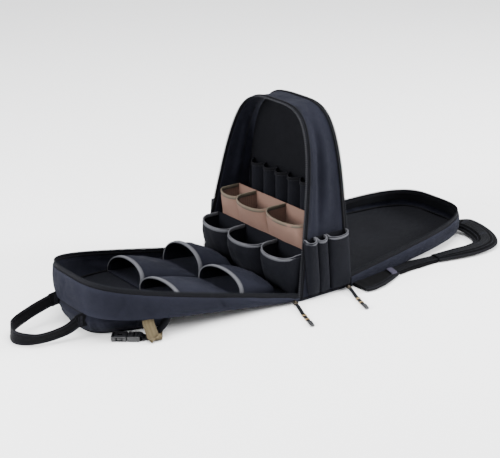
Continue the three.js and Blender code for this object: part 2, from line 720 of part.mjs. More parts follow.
// A padded shoulder strap: it leaves the back tray's underside, runs out to a folded tip on the
// floor and comes back beside the tray, where webbing ties it to a sewn tab at the base's corner
function addShoulderStraps() {
  const strapFoot = 0.6;
  const tabEnd = 0.3;
  // Places as shares of half the bag's width and of the back tray's length. Lift goes from the
  // floor at 0 to the tray's underside at 1, and nudge opens a seam's gap.
  const padded = [
    { across: 0.16, run: 0.95, lift: 1, bearing: 95, tilt: 0, wide: 0.8, thick: 0.5 },
    { across: 0.3, run: 0.995, lift: 0.85, bearing: 98, tilt: 3, wide: 0.85, thick: 0.7 },
    { across: 0.46, run: 1.035, lift: 1.2, bearing: 98, tilt: 12, wide: 0.9, thick: 1 },
    { across: 0.78, run: 1.03, lift: 0.5, bearing: 80, tilt: 8, wide: 0.95, thick: 1.05 },
    { across: 1.03, run: 0.965, lift: 0.15, bearing: 35, tilt: 3, wide: 0.96, thick: 1 },
    { across: 1.09, run: 0.86, lift: 0, bearing: -5, tilt: 0, wide: 0.9, thick: 1 },
    { across: 1.06, run: 0.74, lift: 0, bearing: -15, tilt: 0, wide: 0.85, thick: 0.95 },
    { across: 1.005, run: strapFoot, lift: 0, bearing: -12, tilt: 0, wide: 0.62, thick: 0.75 },
  ];
  const webbing = [
    { across: 1, run: strapFoot, nudge: -2, bearing: -12 },
    { across: 0.975, run: 0.48, nudge: 0, bearing: -6 },
    { across: 0.975, run: 0.4, nudge: 0, bearing: 4 },
    { across: 1, run: tabEnd, nudge: 3, bearing: 0 },
  ];
  // The tab's outer edge, as shares of half the bag's width
  const tab = [
    { run: 0.015, reach: 1.26 },
    { run: 0.07, reach: 1.28 },
    { run: 0.14, reach: 1.25 },
    { run: 0.22, reach: 1.18 },
    { run: tabEnd, reach: 1.09 },
  ];
  [['right', 1], ['left', -1]].forEach(([sideName, side]) => {
    const bearingOf = (bearing) => (side > 0 ? bearing : 180 - bearing);
    addPiece(`shoulder_strap_${sideName}`, ribbon(padded.map((row) => {
      const run = backTray.length * row.run;
      const flat = (strapThick * row.thick) / 2 + seamGap;
      const hung = backTray.floorAt(Math.min(run, backTray.length)) - flat - seamGap;
      return {
        at: new THREE.Vector3(
          side * halfWidth * row.across, backTray.yAt(run), mix(flat, Math.max(hung, flat), row.lift),
        ),
        bearing: bearingOf(row.bearing),
        tilt: row.tilt,
        wide: strapWidth * row.wide,
        thick: strapThick * row.thick,
      };
    }), 26, true), 'padding');
    addPiece(`strap_webbing_${sideName}`, ribbon(webbing.map((row) => ({
      at: new THREE.Vector3(
        side * halfWidth * row.across,
        backTray.yAt(backTray.length * row.run + 2 * seamGap * row.nudge),
        webbingThick / 2 + seamGap,
      ),
      bearing: bearingOf(row.bearing),
      tilt: 0,
      wide: strapWebbing,
      thick: webbingThick,
    })), 10, false), 'webbing');
    addPiece(`strap_wing_${sideName}`, loft(tab.map(({ run, reach }) => {
      const along = backTray.length * run;
      const inner = backTray.reachAt(along) + 2 * seamGap;
      const outer = halfWidth * reach;
      const soft = wingThick * 0.35;
      return [
        [inner, seamGap],
        [outer - soft, seamGap],
        [outer, seamGap + soft],
        [outer - soft, wingThick],
        [inner, wingThick],
      ].map(([across, height]) => (
        new THREE.Vector3(side * across, backTray.yAt(along), height)
      ));
    })), 'padding');
  });
}

// A slider at a zip's end by the base, with a flat woven pull that lies out on the floor
function addZipPull(place, position, bearing) {
  const group = new THREE.Group();
  group.position.copy(position);
  group.rotation.z = radians(bearing);
  backpack.add(group);
  const slider = new THREE.Shape();
  const half = sliderWidth / 2;
  slider.moveTo(0, -half * 0.7);
  slider.quadraticCurveTo(sliderLength * 0.5, -half * 1.3, sliderLength, -half * 0.5);
  slider.lineTo(sliderLength, half * 0.5);
  slider.quadraticCurveTo(sliderLength * 0.5, half * 1.3, 0, half * 0.7);
  addPiece(`zip_slider_${place}`, new THREE.ExtrudeGeometry(slider, {
    depth: sliderThick,
    bevelEnabled: false,
    curveSegments: 5,
  }), 'metal', group);
  const lowest = pullThick / 2 + seamGap - position.z;
  const rows = [
    { out: 0, rise: 1 },
    { out: 0.2, rise: 0.75 },
    { out: 0.5, rise: 0.12 },
    { out: 0.8, rise: 0 },
    { out: 1, rise: 0 },
  ];
  const start = sliderLength + seamGap;
  addPiece(`zip_pull_${place}`, ribbon(rows.map(({ out, rise }) => ({
    at: new THREE.Vector3(start + pullLength * out, 0, mix(lowest, sliderThick / 2, rise)),
    bearing: 90,
    tilt: 0,
    wide: pullWidth,
    thick: pullThick,
  })), 12, false), 'webbing', group);
  const tip = addPiece(`pull_tip_${place}`, new THREE.CylinderGeometry(
    pullWidth * 0.55, pullWidth * 0.45, pullTipLength, 8,
  ), 'plastic', group);
  tip.scale.z = 0.5;
  tip.rotation.z = Math.PI / 2;
  tip.position.set(start + pullLength + seamGap + pullTipLength / 2, 0, pullWidth * 0.28 - position.z);
}

addCentre();
addTray('front_tray', frontTray, [
  { at: 0.12, wide: 0.06, push: 0.5 },
  { at: 0.27, wide: 0.05, push: 0.6 },
  { at: 0.5, wide: 0.1, push: 0.5 },
  { at: 0.8, wide: 0.08, push: 0.6 },
]);
addTrayPockets();
addOuterPocket();
addGrabHandle();
addSideStrap();
addBuckle();
addTray('back_tray', backTray, [
  { at: 0.22, wide: 0.06, push: 0.6 },
  { at: 0.36, wide: 0.05, push: 0.4 },
  { at: 0.62, wide: 0.08, push: 0.5 },
]);
addShoulderStraps();
const pullBearing = -20;
const pullSeat = halfWidth + seamGap + (sliderWidth / 2) * Math.sin(radians(-pullBearing));
addZipPull('front', new THREE.Vector3(
  pullSeat - 0.35 * trayWallBulge, -halfDepth - sliderLength * 0.9, sliderThick * 0.35,
), pullBearing);
addZipPull('back', new THREE.Vector3(
  pullSeat, halfDepth - sliderLength * 0.7, sliderThick * 0.35,
), pullBearing);

export default backpack;
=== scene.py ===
# %% [markdown]
# # A tool backpack lying open
# The bag is unzipped and laid open: a centre compartment stands up between two trays. We load the
# CAD part as a fixed frame, keep its size, and then dress every soft piece in real cloth, webbing
# and trim. All lengths are in metres, in the CAD's own axes.

# %% Load the frame
import math

import bpy
import numpy as np
from mathutils import Matrix, Vector


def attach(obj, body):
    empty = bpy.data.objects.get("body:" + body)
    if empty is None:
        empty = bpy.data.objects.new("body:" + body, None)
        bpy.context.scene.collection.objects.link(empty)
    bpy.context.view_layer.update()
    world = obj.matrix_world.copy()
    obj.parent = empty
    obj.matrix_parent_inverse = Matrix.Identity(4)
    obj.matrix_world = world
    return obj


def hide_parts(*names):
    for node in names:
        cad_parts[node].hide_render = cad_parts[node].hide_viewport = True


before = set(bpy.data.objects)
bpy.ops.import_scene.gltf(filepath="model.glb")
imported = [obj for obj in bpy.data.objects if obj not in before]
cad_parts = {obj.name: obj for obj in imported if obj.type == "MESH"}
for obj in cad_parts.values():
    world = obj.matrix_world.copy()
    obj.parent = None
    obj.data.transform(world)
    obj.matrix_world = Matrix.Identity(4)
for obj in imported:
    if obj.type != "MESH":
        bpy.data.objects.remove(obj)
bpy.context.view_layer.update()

# %% [markdown]
# ## Camera
# The camera comes first, because everything is judged through it. A long lens far away keeps the
# trays from looking stretched. We build its axes from an azimuth and an elevation, and a small
# shift puts the bag where it lies in the picture without turning the camera.

# %% Camera
camera_azimuth = math.radians(52.79)
camera_elevation = math.radians(19.45)
camera_roll = math.radians(-0.24)
camera_distance = 3.0559
camera_target = Vector((0, -0.008, 0.150))

camera_data = bpy.data.cameras.new("camera")
camera_data.lens = 104.83
camera_data.sensor_width = 36
camera_data.shift_x = -0.0421
camera_data.shift_y = -0.0497
camera_data.clip_end = 60
camera = bpy.data.objects.new("camera", camera_data)
bpy.context.scene.collection.objects.link(camera)
back = Vector((
    math.sin(camera_azimuth) * math.cos(camera_elevation),
    -math.cos(camera_azimuth) * math.cos(camera_elevation),
    math.sin(camera_elevation),
))
level = Vector((math.cos(camera_azimuth), math.sin(camera_azimuth), 0))
upright = back.cross(level)
right = level * math.cos(camera_roll) + upright * math.sin(camera_roll)
up = upright * math.cos(camera_roll) - level * math.sin(camera_roll)
turn = Matrix((right, up, back)).transposed().to_4x4()
camera.matrix_world = Matrix.Translation(camera_target + back * camera_distance) @ turn
bpy.context.scene.camera = camera
print("camera at", [round(v, 3) for v in camera.matrix_world.translation])

# %% [markdown]
# ## Floor and light
# A pale floor and a pale sky give the nearly shadowless look of a catalogue photograph. A wide
# lamp hangs overhead. Two smaller ones stand beyond the trays' two ends: the right one lights the
# bag's long side and the left one the end that carries the handle.

# %% Floor and lamps
bpy.ops.object.select_all(action="DESELECT")
bpy.ops.mesh.primitive_plane_add(size=40, location=(0, 0, -0.0005))
floor = bpy.context.object
floor.name = "floor"
floor_finish = bpy.data.materials.new("pale floor")
floor_finish.use_nodes = True
floor_shader = floor_finish.node_tree.nodes["Principled BSDF"]
floor_shader.inputs["Base Color"].default_value = (0.94, 0.94, 0.94, 1)
floor_shader.inputs["Roughness"].default_value = 0.9
floor.data.materials.append(floor_finish)

sky = bpy.data.worlds.new("pale sky")
sky.use_nodes = True
sky.node_tree.nodes["Background"].inputs["Color"].default_value = (0.97, 0.98, 1, 1)
sky.node_tree.nodes["Background"].inputs["Strength"].default_value = 1.15
bpy.context.scene.world = sky


def add_lamp(name, place, aim, size, power):
    lamp_data = bpy.data.lights.new(name, "AREA")
    lamp_data.shape = "DISK"
    lamp_data.size = size
    lamp_data.energy = power
    lamp = bpy.data.objects.new(name, lamp_data)
    lamp.location = place
    lamp.rotation_euler = (Vector(aim) - Vector(place)).to_track_quat("-Z", "Y").to_euler()
    bpy.context.scene.collection.objects.link(lamp)


add_lamp("top lamp", (0.2, 0.1, 3.2), (0, 0, 0.1), 3.0, 230)
add_lamp("right lamp", (1.5, 2.5, 1.2), (0, 0.2, 0.1), 1.2, 200)
add_lamp("left lamp", (-0.2, -2.8, 1.2), (0, -0.4, 0.1), 1.2, 160)
print("floor and lamps ready")

# %% [markdown]
# ## The bag's sizes and its arch
# The two trays and the centre compartment share one outline: straight sides that lean in a little
# and a round top. It is a superellipse. We keep the CAD's sizes here, so each cloth piece lies
# exactly where its solid does.

# %% Sizes and the arched outline
bag_width = 0.340
half_width = bag_width / 2
centre_height = 0.375
base_depth = 0.136
half_depth = base_depth / 2
top_depth = 0.069
base_thick = 0.005
seam = 0.0003
zip_tape = 0.008
wall_thick = 0.003
floor_height = base_thick + seam
arch_taper = 0.247
arch_side_curve = 3.83
arch_top_curve = 5.74


def arch_reach(rise):
    sine = np.asarray(rise, float) ** (arch_top_curve / 2)
    cosine = np.sqrt(np.clip(1 - sine ** 2, 0, 1))
    return half_width * cosine ** (2 / arch_side_curve) * (1 - arch_taper * np.asarray(rise))


def arch(length, share):
    """Across, rise and outward direction at shares of the way round, and the way's length."""
    angle = np.linspace(0, np.pi, 2881)
    rise = np.clip(np.sin(angle), 0, 1) ** (2 / arch_top_curve)
    rise[[0, -1]] = 0
    across = np.where(np.cos(angle) < 0, -1, 1) * arch_reach(rise)
    way = np.concatenate([[0], np.cumsum(np.hypot(np.diff(across), np.diff(rise * length)))])

    def at(part):
        run = np.clip(part, 0, 1) * way[-1]
        return np.interp(run, way, across), np.interp(run, way, rise * length)

    x, z = at(share)
    x0, z0 = at(share - 0.003)
    x1, z1 = at(share + 0.003)
    size = np.hypot(x1 - x0, z1 - z0)
    return x, z, (z1 - z0) / size, (x0 - x1) / size, way[-1]


arch_way = arch(centre_height - floor_height, np.zeros(1))[4]
print("centre arch runs", round(arch_way, 3), "m")

# %% [markdown]
# ## Making cloth
# Every cloth piece starts as a flat grid, as a pattern piece starts flat on a cutting table. Its
# points are then moved to where the sewn piece lies, and Solidify gives it thickness. The UV map
# is kept in metres, so one weave has the same thread size everywhere.

# %% Helpers: a sheet of cloth and a swept trim
def unit(rows):
    """Each row as a direction of length one."""
    return rows / np.linalg.norm(rows, axis=1)[:, None]


def all_along(path, x, y, z):
    """One direction, repeated for every point of a path."""
    return np.broadcast_to((float(x), float(y), float(z)), np.shape(path))


def length_so_far(path):
    steps = np.linalg.norm(np.diff(path, axis=0), axis=1)
    return np.concatenate([[0], np.cumsum(steps)])


def only(obj):
    bpy.ops.object.select_all(action="DESELECT")
    obj.select_set(True)
    bpy.context.view_layer.objects.active = obj


def finish_modifier(obj, kind, **settings):
    only(obj)
    modifier = obj.modifiers.new(kind.lower(), kind)
    for key, value in settings.items():
        setattr(modifier, key, value)
    bpy.ops.object.modifier_apply(modifier=modifier.name)


def in_edit(obj, *steps):
    """Runs edit mode steps on all of a piece."""
    only(obj)
    bpy.ops.object.mode_set(mode="EDIT")
    bpy.ops.mesh.select_all(action="SELECT")
    for step in steps:
        step()
    bpy.ops.object.mode_set(mode="OBJECT")


def weld(obj):
    in_edit(obj, lambda: bpy.ops.mesh.remove_doubles(threshold=1e-6))


def points_of(obj):
    points = np.empty(len(obj.data.vertices) * 3)
    obj.data.vertices.foreach_get("co", points)
    return points.reshape(-1, 3)


def move_points(obj, points):
    obj.data.vertices.foreach_set("co", np.asarray(points, float).ravel())
    obj.data.update()


def finish_piece(obj, material, slot, *nodes):
    """Keeps a piece above the floor, shades it smooth, and gives it its finish and its ties."""
    points = points_of(obj)
    points[:, 2] = np.maximum(points[:, 2], 0.0002)
    move_points(obj, points)
    only(obj)
    bpy.ops.object.shade_smooth_by_angle(angle=math.radians(50))
    obj.data.materials.clear()
    obj.data.materials.append(material)
    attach(obj, "root")
    if nodes:
        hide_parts(*nodes)
    return obj


def sheet(name, columns, rows, place, size, thick=0, side=-1):
    """A grid of columns by rows. place(u, v) gives each point from its shares of the grid, and
    size is the sheet's flat size in metres."""
    bpy.ops.object.select_all(action="DESELECT")
    bpy.ops.mesh.primitive_grid_add(x_subdivisions=columns, y_subdivisions=rows, size=2)
    obj = bpy.context.object
    obj.name = obj.data.name = name
    flat = points_of(obj)
    u, v = (flat[:, 0] + 1) / 2, (flat[:, 1] + 1) / 2
    move_points(obj, np.stack(place(u, v), 1))
    uv = np.empty(len(obj.data.loops) * 2)
    obj.data.uv_layers.active.data.foreach_get("uv", uv)
    uv = uv.reshape(-1, 2) * np.array(size)
    obj.data.uv_layers.active.data.foreach_set("uv", uv.ravel())
    weld(obj)
    if thick:
        finish_modifier(obj, "SOLIDIFY", thickness=thick, offset=side, use_even_offset=False)
    return obj


def close_ends(obj):
    """Fills the open rings at a tube's two ends."""
    only(obj)
    bpy.ops.object.mode_set(mode="EDIT")
    bpy.ops.mesh.select_all(action="DESELECT")
    bpy.ops.mesh.select_mode(type="EDGE")
    bpy.ops.mesh.select_non_manifold(extend=False, use_wire=False, use_boundary=True,
                                     use_multi_face=False, use_non_contiguous=False,
                                     use_verts=False)
    bpy.ops.mesh.fill_holes(sides=0)
    bpy.ops.mesh.select_all(action="SELECT")
    bpy.ops.mesh.normals_make_consistent(inside=False)
    bpy.ops.mesh.select_mode(type="VERT")
    bpy.ops.object.mode_set(mode="OBJECT")


def sweep(name, path, side, wide, thick, corners=12, squareness=6, closed=False):
    """A band along a path. side points across it; wide and thick may change along the way."""
    path, side = np.asarray(path, float), np.asarray(side, float)
    ahead = np.gradient(path, axis=0)
    if closed:
        ahead[0] = ahead[-1] = path[1] - path[-2]
    ahead = unit(ahead)
    side = unit(side - ahead * (side * ahead).sum(1)[:, None])
    face = np.cross(ahead, side)
    wide = np.broadcast_to(wide, len(path))
    thick = np.broadcast_to(thick, len(path))
    run = length_so_far(path)

    def place(u, v):
        at = np.rint(v * (len(path) - 1)).astype(int)
        angle = -2 * np.pi * u
        power = 2 / squareness
        a = np.sign(np.cos(angle)) * np.abs(np.cos(angle)) ** power * wide[at] / 2
        flatter = 2 * power / (1 + power)
        b = np.sign(np.sin(angle)) * np.abs(np.sin(angle)) ** flatter * thick[at] / 2
        return (path[at] + side[at] * a[:, None] + face[at] * b[:, None]).T

    obj = sheet(name, corners, len(path) - 1, place, (2 * float(wide.max()), run[-1]))
    if not closed:
        close_ends(obj)
    return obj


def catmull(points, shares):
    """A centripetal Catmull-Rom curve through points, as the CAD's ribbons use."""
    points = np.asarray(points, float)
    count = len(points) - 1
    result = []
    for share in shares:
        place = share * count
        start = min(count - 1, int(place))
        t = place - start
        p1, p2 = points[start], points[start + 1]
        p0 = points[start - 1] if start > 0 else 2 * points[0] - points[1]
        p3 = points[start + 2] if start + 2 <= count else 2 * points[-1] - points[-2]
        gaps = [max(1e-9, np.linalg.norm(b - a) ** 0.5) for a, b in ((p0, p1), (p1, p2), (p2, p3))]
        m1 = ((p1 - p0) / gaps[0] - (p2 - p0) / (gaps[0] + gaps[1]) + (p2 - p1) / gaps[1]) * gaps[1]
        m2 = ((p2 - p1) / gaps[1] - (p3 - p1) / (gaps[1] + gaps[2]) + (p3 - p2) / gaps[2]) * gaps[1]
        result.append(p1 + m1 * t + (3 * (p2 - p1) - 2 * m1 - m2) * t ** 2
                      + (m1 + m2 - 2 * (p2 - p1)) * t ** 3)
    return np.array(result)


def strap_route(rows, steps):
    """Rows hold x, y, z, bearing, tilt, width and thickness. Gives the path, its side direction,
    widths and thicknesses."""
    rows = np.asarray(rows, float)
    shares = np.linspace(0, 1, steps + 1)
    path = catmull(rows[:, :3], shares)
    rest = [np.interp(shares * (len(rows) - 1), np.arange(len(rows)), rows[:, i])
            for i in range(3, rows.shape[1])]
    bearing, tilt = np.radians(rest[0]), np.radians(rest[1])
    side = np.stack([np.cos(bearing) * np.cos(tilt), np.sin(bearing) * np.cos(tilt),
                     np.sin(tilt)], 1)
    return path, side, rest[2], rest[3]


def ripple(s, t, size, seed):
    """Soft uneven waves between about -1 and 1, a given size across."""
    total = 0
    for i in range(6):
        angle = seed * 1.7 + i * 1.13
        turn = np.sin(seed * 3.1 + i * 2.3) * 0.3 + 1
        phase = seed * 5.3 + i * i * 1.9
        wave = (s * np.cos(angle) + t * np.sin(angle)) * 2 * np.pi / (size * turn)
        total = total + np.sin(wave + phase + 0.8 * np.sin(wave * 0.41 + i))
    return total / 4


def folds(s, t, table):
    """Creases as rows of start (s, t), end (s, t), width and depth, all in metres."""
    total = np.zeros(np.broadcast(s, t).shape)
    for s0, t0, s1, t1, wide, depth in table:
        ds, dt = s1 - s0, t1 - t0
        along = ((s - s0) * ds + (t - t0) * dt) / (ds * ds + dt * dt)
        near = np.clip(along, 0, 1)
        gap = np.hypot(s - s0 - near * ds, t - t0 - near * dt)
        total = total + depth * np.exp(-(gap / wide) ** 2) * (0.35 + 0.65 * np.sin(np.pi * near))
    return total


print("helpers ready")

# %% [markdown]
# ## Repeated small things
# Stitches and zip teeth are modelled once, as a bevelled cube, and then copied along a seam. Each
# row of copies becomes one mesh, so hundreds of them stay light.

# %% Helpers: one stitch or tooth, copied along a path
def bevel_edges(obj, wanted, offset, segments):
    """Bevels the edges whose two ends pass a test of their places."""
    only(obj)
    bpy.ops.object.mode_set(mode="EDIT")
    bpy.ops.mesh.select_mode(type="EDGE")
    bpy.ops.mesh.select_all(action="DESELECT")
    bpy.ops.object.mode_set(mode="OBJECT")
    for edge in obj.data.edges:
        edge.select = wanted(*[obj.data.vertices[i].co for i in edge.vertices])
    bpy.ops.object.mode_set(mode="EDIT")
    bpy.ops.mesh.bevel(offset=offset, segments=segments)
    bpy.ops.mesh.select_mode(type="VERT")
    bpy.ops.object.mode_set(mode="OBJECT")


def small_block(name, size, bevel):
    bpy.ops.object.select_all(action="DESELECT")
    bpy.ops.mesh.primitive_cube_add(size=1)
    obj = bpy.context.object
    obj.name = name
    move_points(obj, points_of(obj) * np.array(size))
    bevel_edges(obj, lambda a, b: min(a.z, b.z) > 0, bevel, 1)
    points = points_of(obj)
    faces = [list(face.vertices) for face in obj.data.polygons]
    bpy.data.objects.remove(obj)
    return points, faces


stitch_block = small_block("stitch", (0.0007, 0.0024, 0.0006), 0.00018)
tooth_block = small_block("tooth", (0.0034, 0.0021, 0.0024), 0.0005)


def resample(path, *others, pitch):
    """Even steps along a path, with other rows of values carried along."""
    run = length_so_far(path)
    at = np.arange(pitch / 2, run[-1], pitch)
    return [np.stack([np.interp(at, run, values[:, i]) for i in range(3)], 1)
            for values in (path, *others)]


def copy_along(name, block, path, side, pitch):
    """Copies a block along a path: its X runs along side and its Y along the path."""
    points, faces = block
    path, side = resample(np.asarray(path, float), np.asarray(side, float), pitch=pitch)
    ahead = np.gradient(path, axis=0)
    ahead = unit(ahead)
    side = unit(side - ahead * (side * ahead).sum(1)[:, None])
    out = np.cross(side, ahead)
    axes = np.stack([side, ahead, out], 1)
    placed = np.einsum("pk,nkc->npc", points, axes) + path[:, None, :]
    everything = [[i + n * len(points) for i in face] for n in range(len(path)) for face in faces]
    mesh = bpy.data.meshes.new(name)
    mesh.from_pydata(placed.reshape(-1, 3).tolist(), [], everything)
    mesh.uv_layers.new(name="UVMap")
    mesh.update()
    obj = bpy.data.objects.new(name, mesh)
    bpy.context.scene.collection.objects.link(obj)
    return obj


print("stitch and tooth modelled:", len(stitch_block[1]), "and", len(tooth_block[1]), "faces")

# %% [markdown]
# ## Cloth and trim finishes
# Woven cloth is many small threads that pass over and under each other. Two sine waves give the
# threads their round backs and a checker decides which one is on top. Because the UV map is in
# metres, a thread's width is typed as it would be measured. Slow noise fades the colour a little,
# as handling does, and an attribute named "worn" lightens edges.

# %% Finishes: the thread pattern and woven cloth
def new_finish(name, rough, specular=0.35):
    material = bpy.data.materials.new(name)
    material.use_nodes = True
    tree = material.node_tree
    shader = tree.nodes["Principled BSDF"]
    shader.inputs["Roughness"].default_value = rough
    shader.inputs["Specular IOR Level"].default_value = specular
    return material, tree, shader


def add_node(tree, kind, settings=(), **sockets):
    node = tree.nodes.new(kind)
    for key, value in settings:
        setattr(node, key, value)
    for key, value in sockets.items():
        socket = node.inputs[key.replace("_", " ")]
        if isinstance(value, bpy.types.NodeSocket):
            tree.links.new(value, socket)
        else:
            socket.default_value = value
    return node


def reckon(tree, operation, *values):
    node = tree.nodes.new("ShaderNodeMath")
    node.operation = operation
    for i, value in enumerate(values):
        if isinstance(value, bpy.types.NodeSocket):
            tree.links.new(value, node.inputs[i])
        else:
            node.inputs[i].default_value = value
    return node.outputs[0]


def blend_colours(tree, share, first, second):
    node = add_node(tree, "ShaderNodeMix", [("data_type", "RGBA")])
    for index, value in ((0, share), (6, first), (7, second)):
        if isinstance(value, bpy.types.NodeSocket):
            tree.links.new(value, node.inputs[index])
        elif index:
            node.inputs[index].default_value = (*value, 1)
        else:
            node.inputs[index].default_value = value
    return node.outputs[2]


def slow_noise(tree, scale, detail=3.0):
    place = add_node(tree, "ShaderNodeTexCoord").outputs["Object"]
    noise = add_node(tree, "ShaderNodeTexNoise", Vector=place, Scale=scale, Detail=detail)
    return noise.outputs["Fac"]


def thread_pattern(tree, across, along):
    """Height of a plain weave, from 0 to 1, for threads of these widths in metres."""
    uv = add_node(tree, "ShaderNodeUVMap", [("uv_map", "UVMap")]).outputs["UV"]
    scaled = add_node(tree, "ShaderNodeMapping", Vector=uv,
                      Scale=(1 / across, 1 / along, 1)).outputs[0]
    parts = add_node(tree, "ShaderNodeSeparateXYZ", Vector=scaled)

    def round_backs(value):
        wave = reckon(tree, "SINE", reckon(tree, "MULTIPLY", value, math.pi))
        return reckon(tree, "ABSOLUTE", wave)

    warp, weft = round_backs(parts.outputs["X"]), round_backs(parts.outputs["Y"])
    over = add_node(tree, "ShaderNodeTexChecker", Vector=scaled, Scale=1.0).outputs["Fac"]
    lifted = reckon(tree, "MULTIPLY", warp, over)
    sunk = reckon(tree, "MULTIPLY", weft, reckon(tree, "SUBTRACT", 1.0, over))
    return reckon(tree, "ADD", lifted, sunk)


def relief_of(tree, shader, *layers):
    """Chains bumps: each layer is a height, and the depth in metres that it stands for."""
    normal = None
    for height, depth in layers:
        bump = add_node(tree, "ShaderNodeBump", Height=height, Distance=depth, Strength=1.0)
        if normal:
            tree.links.new(normal, bump.inputs["Normal"])
        normal = bump.outputs["Normal"]
    tree.links.new(normal, shader.inputs["Normal"])


def woven(name, colour, faded, across, along, rough=0.82, depth=0.00025, blotch=7.0,
          crumple=0.0009):
    material, tree, shader = new_finish(name, rough, 0.04)
    threads = thread_pattern(tree, across, along)
    slow = slow_noise(tree, blotch)
    worn = add_node(tree, "ShaderNodeAttribute", [("attribute_name", "worn")]).outputs["Fac"]
    share = reckon(tree, "ADD", reckon(tree, "MULTIPLY", slow, 0.55), worn)
    share = add_node(tree, "ShaderNodeClamp", Value=share).outputs[0]
    base = blend_colours(tree, share, colour, faded)
    # The colour is darkened where a thread sinks between its neighbours: painted shade in the
    # weave's hollows.
    dark = tuple(value * 0.45 for value in colour)
    on_top = reckon(tree, "ADD", reckon(tree, "MULTIPLY", threads, 0.7), 0.3)
    base = blend_colours(tree, on_top, dark, base)
    tree.links.new(base, shader.inputs["Base Color"])
    mottle = slow_noise(tree, 90.0, 4.0)
    tree.links.new(reckon(tree, "ADD", reckon(tree, "MULTIPLY", mottle, 0.22), rough - 0.11),
                   shader.inputs["Roughness"])
    shader.inputs["Sheen Weight"].default_value = 0.02
    shader.inputs["Sheen Roughness"].default_value = 0.45
    shader.inputs["Sheen Tint"].default_value = (0.8, 0.84, 1, 1)
    relief_of(tree, shader, (slow_noise(tree, 38.0, 3.0), crumple), (threads, depth))
    return material


charcoal = woven("charcoal cloth", (0.0055, 0.0059, 0.0095), (0.0210, 0.0225, 0.0350), 0.0013,
                 0.0013)
black_cloth = woven("black pocket cloth", (0.0030, 0.0032, 0.0045), (0.0110, 0.0116, 0.0165),
                    0.0012, 0.0012)
lining = woven("black lining", (0.0020, 0.0021, 0.0028), (0.0068, 0.0070, 0.0092), 0.0008, 0.0008,
               depth=0.00012)
tan_cloth = woven("tan pocket cloth", (0.15, 0.090, 0.070), (0.24, 0.155, 0.124), 0.0012, 0.0012)
grey_binding = woven("grey binding", (0.060, 0.061, 0.068), (0.125, 0.127, 0.140), 0.006, 0.0009,
                     rough=0.7, crumple=0.0004)
fold_cloth = woven("purple grey fold", (0.030, 0.028, 0.042), (0.078, 0.072, 0.100), 0.0014, 0.0014,
                   rough=0.7, crumple=0.0004)
khaki_binding = woven("khaki binding", (0.085, 0.071, 0.052), (0.155, 0.135, 0.105), 0.006, 0.0009,
                      rough=0.75, crumple=0.0004)
dark_binding = woven("dark binding", (0.0022, 0.0022, 0.0028), (0.0080, 0.0082, 0.0102), 0.006,
                     0.0009, rough=0.7, crumple=0.0003)
webbing = woven("black webbing", (0.0016, 0.0016, 0.0020), (0.0065, 0.0068, 0.0082), 0.0022, 0.0011,
                rough=0.6, depth=0.00045, crumple=0.0002)
khaki_webbing = woven("khaki webbing", (0.085, 0.066, 0.036), (0.160, 0.128, 0.078), 0.0022, 0.0011,
                      rough=0.68, depth=0.00045, crumple=0.0002)
zip_tape_cloth = woven("zip tape", (0.0040, 0.0040, 0.0050), (0.0140, 0.0145, 0.0175), 0.0006,
                       0.0006, depth=0.0001, crumple=0.0003)
thread = woven("stitch thread", (0.012, 0.012, 0.016), (0.045, 0.047, 0.060), 0.0003, 0.0006,
               rough=0.55, depth=0.0001, crumple=0.0001)
print("cloth finishes ready")

# %% [markdown]
# ## Hard finishes and air mesh
# Moulded plastic has a fine grain and a soft shine. The zip sliders are plated metal that has
# darkened in its hollows. Air mesh is a knitted net of small holes over foam.

# %% Finishes: plastic, teeth, metal and mesh
def moulded(name, colour, rough, grain=0.00006, specular=0.5):
    material, tree, shader = new_finish(name, rough, specular)
    slow = slow_noise(tree, 25.0)
    light = tuple(min(1, value * 1.8 + 0.004) for value in colour)
    tree.links.new(blend_colours(tree, reckon(tree, "MULTIPLY", slow, 0.8), colour, light),
                   shader.inputs["Base Color"])
    fine = slow_noise(tree, 1800.0, 2.0)
    tree.links.new(reckon(tree, "ADD", reckon(tree, "MULTIPLY", slow, 0.25), rough - 0.1),
                   shader.inputs["Roughness"])
    relief_of(tree, shader, (fine, grain))
    return material


black_plastic = moulded("black plastic", (0.005, 0.005, 0.006), 0.34)
# The front zip's teeth are lighter than the dark teeth of the other zips: painted highlight.
tooth_plastic = moulded("grey zip teeth", (0.012, 0.0125, 0.015), 0.6, specular=0.08)
dark_tooth_plastic = moulded("dark zip teeth", (0.005, 0.0055, 0.007), 0.6, specular=0.05)


def plated(name, dark, light, rough):
    material, tree, shader = new_finish(name, rough, 0.5)
    shader.inputs["Metallic"].default_value = 1
    patina = slow_noise(tree, 160.0, 5.0)
    tree.links.new(blend_colours(tree, patina, dark, light), shader.inputs["Base Color"])
    tree.links.new(reckon(tree, "ADD", reckon(tree, "MULTIPLY", patina, 0.35), rough - 0.16),
                   shader.inputs["Roughness"])
    relief_of(tree, shader, (slow_noise(tree, 900.0, 2.0), 0.00005))
    return material


bronze = plated("bronze plating", (0.16, 0.10, 0.045), (0.62, 0.46, 0.26), 0.34)
slider_metal = plated("dark slider plating", (0.030, 0.026, 0.022), (0.120, 0.100, 0.075), 0.40)

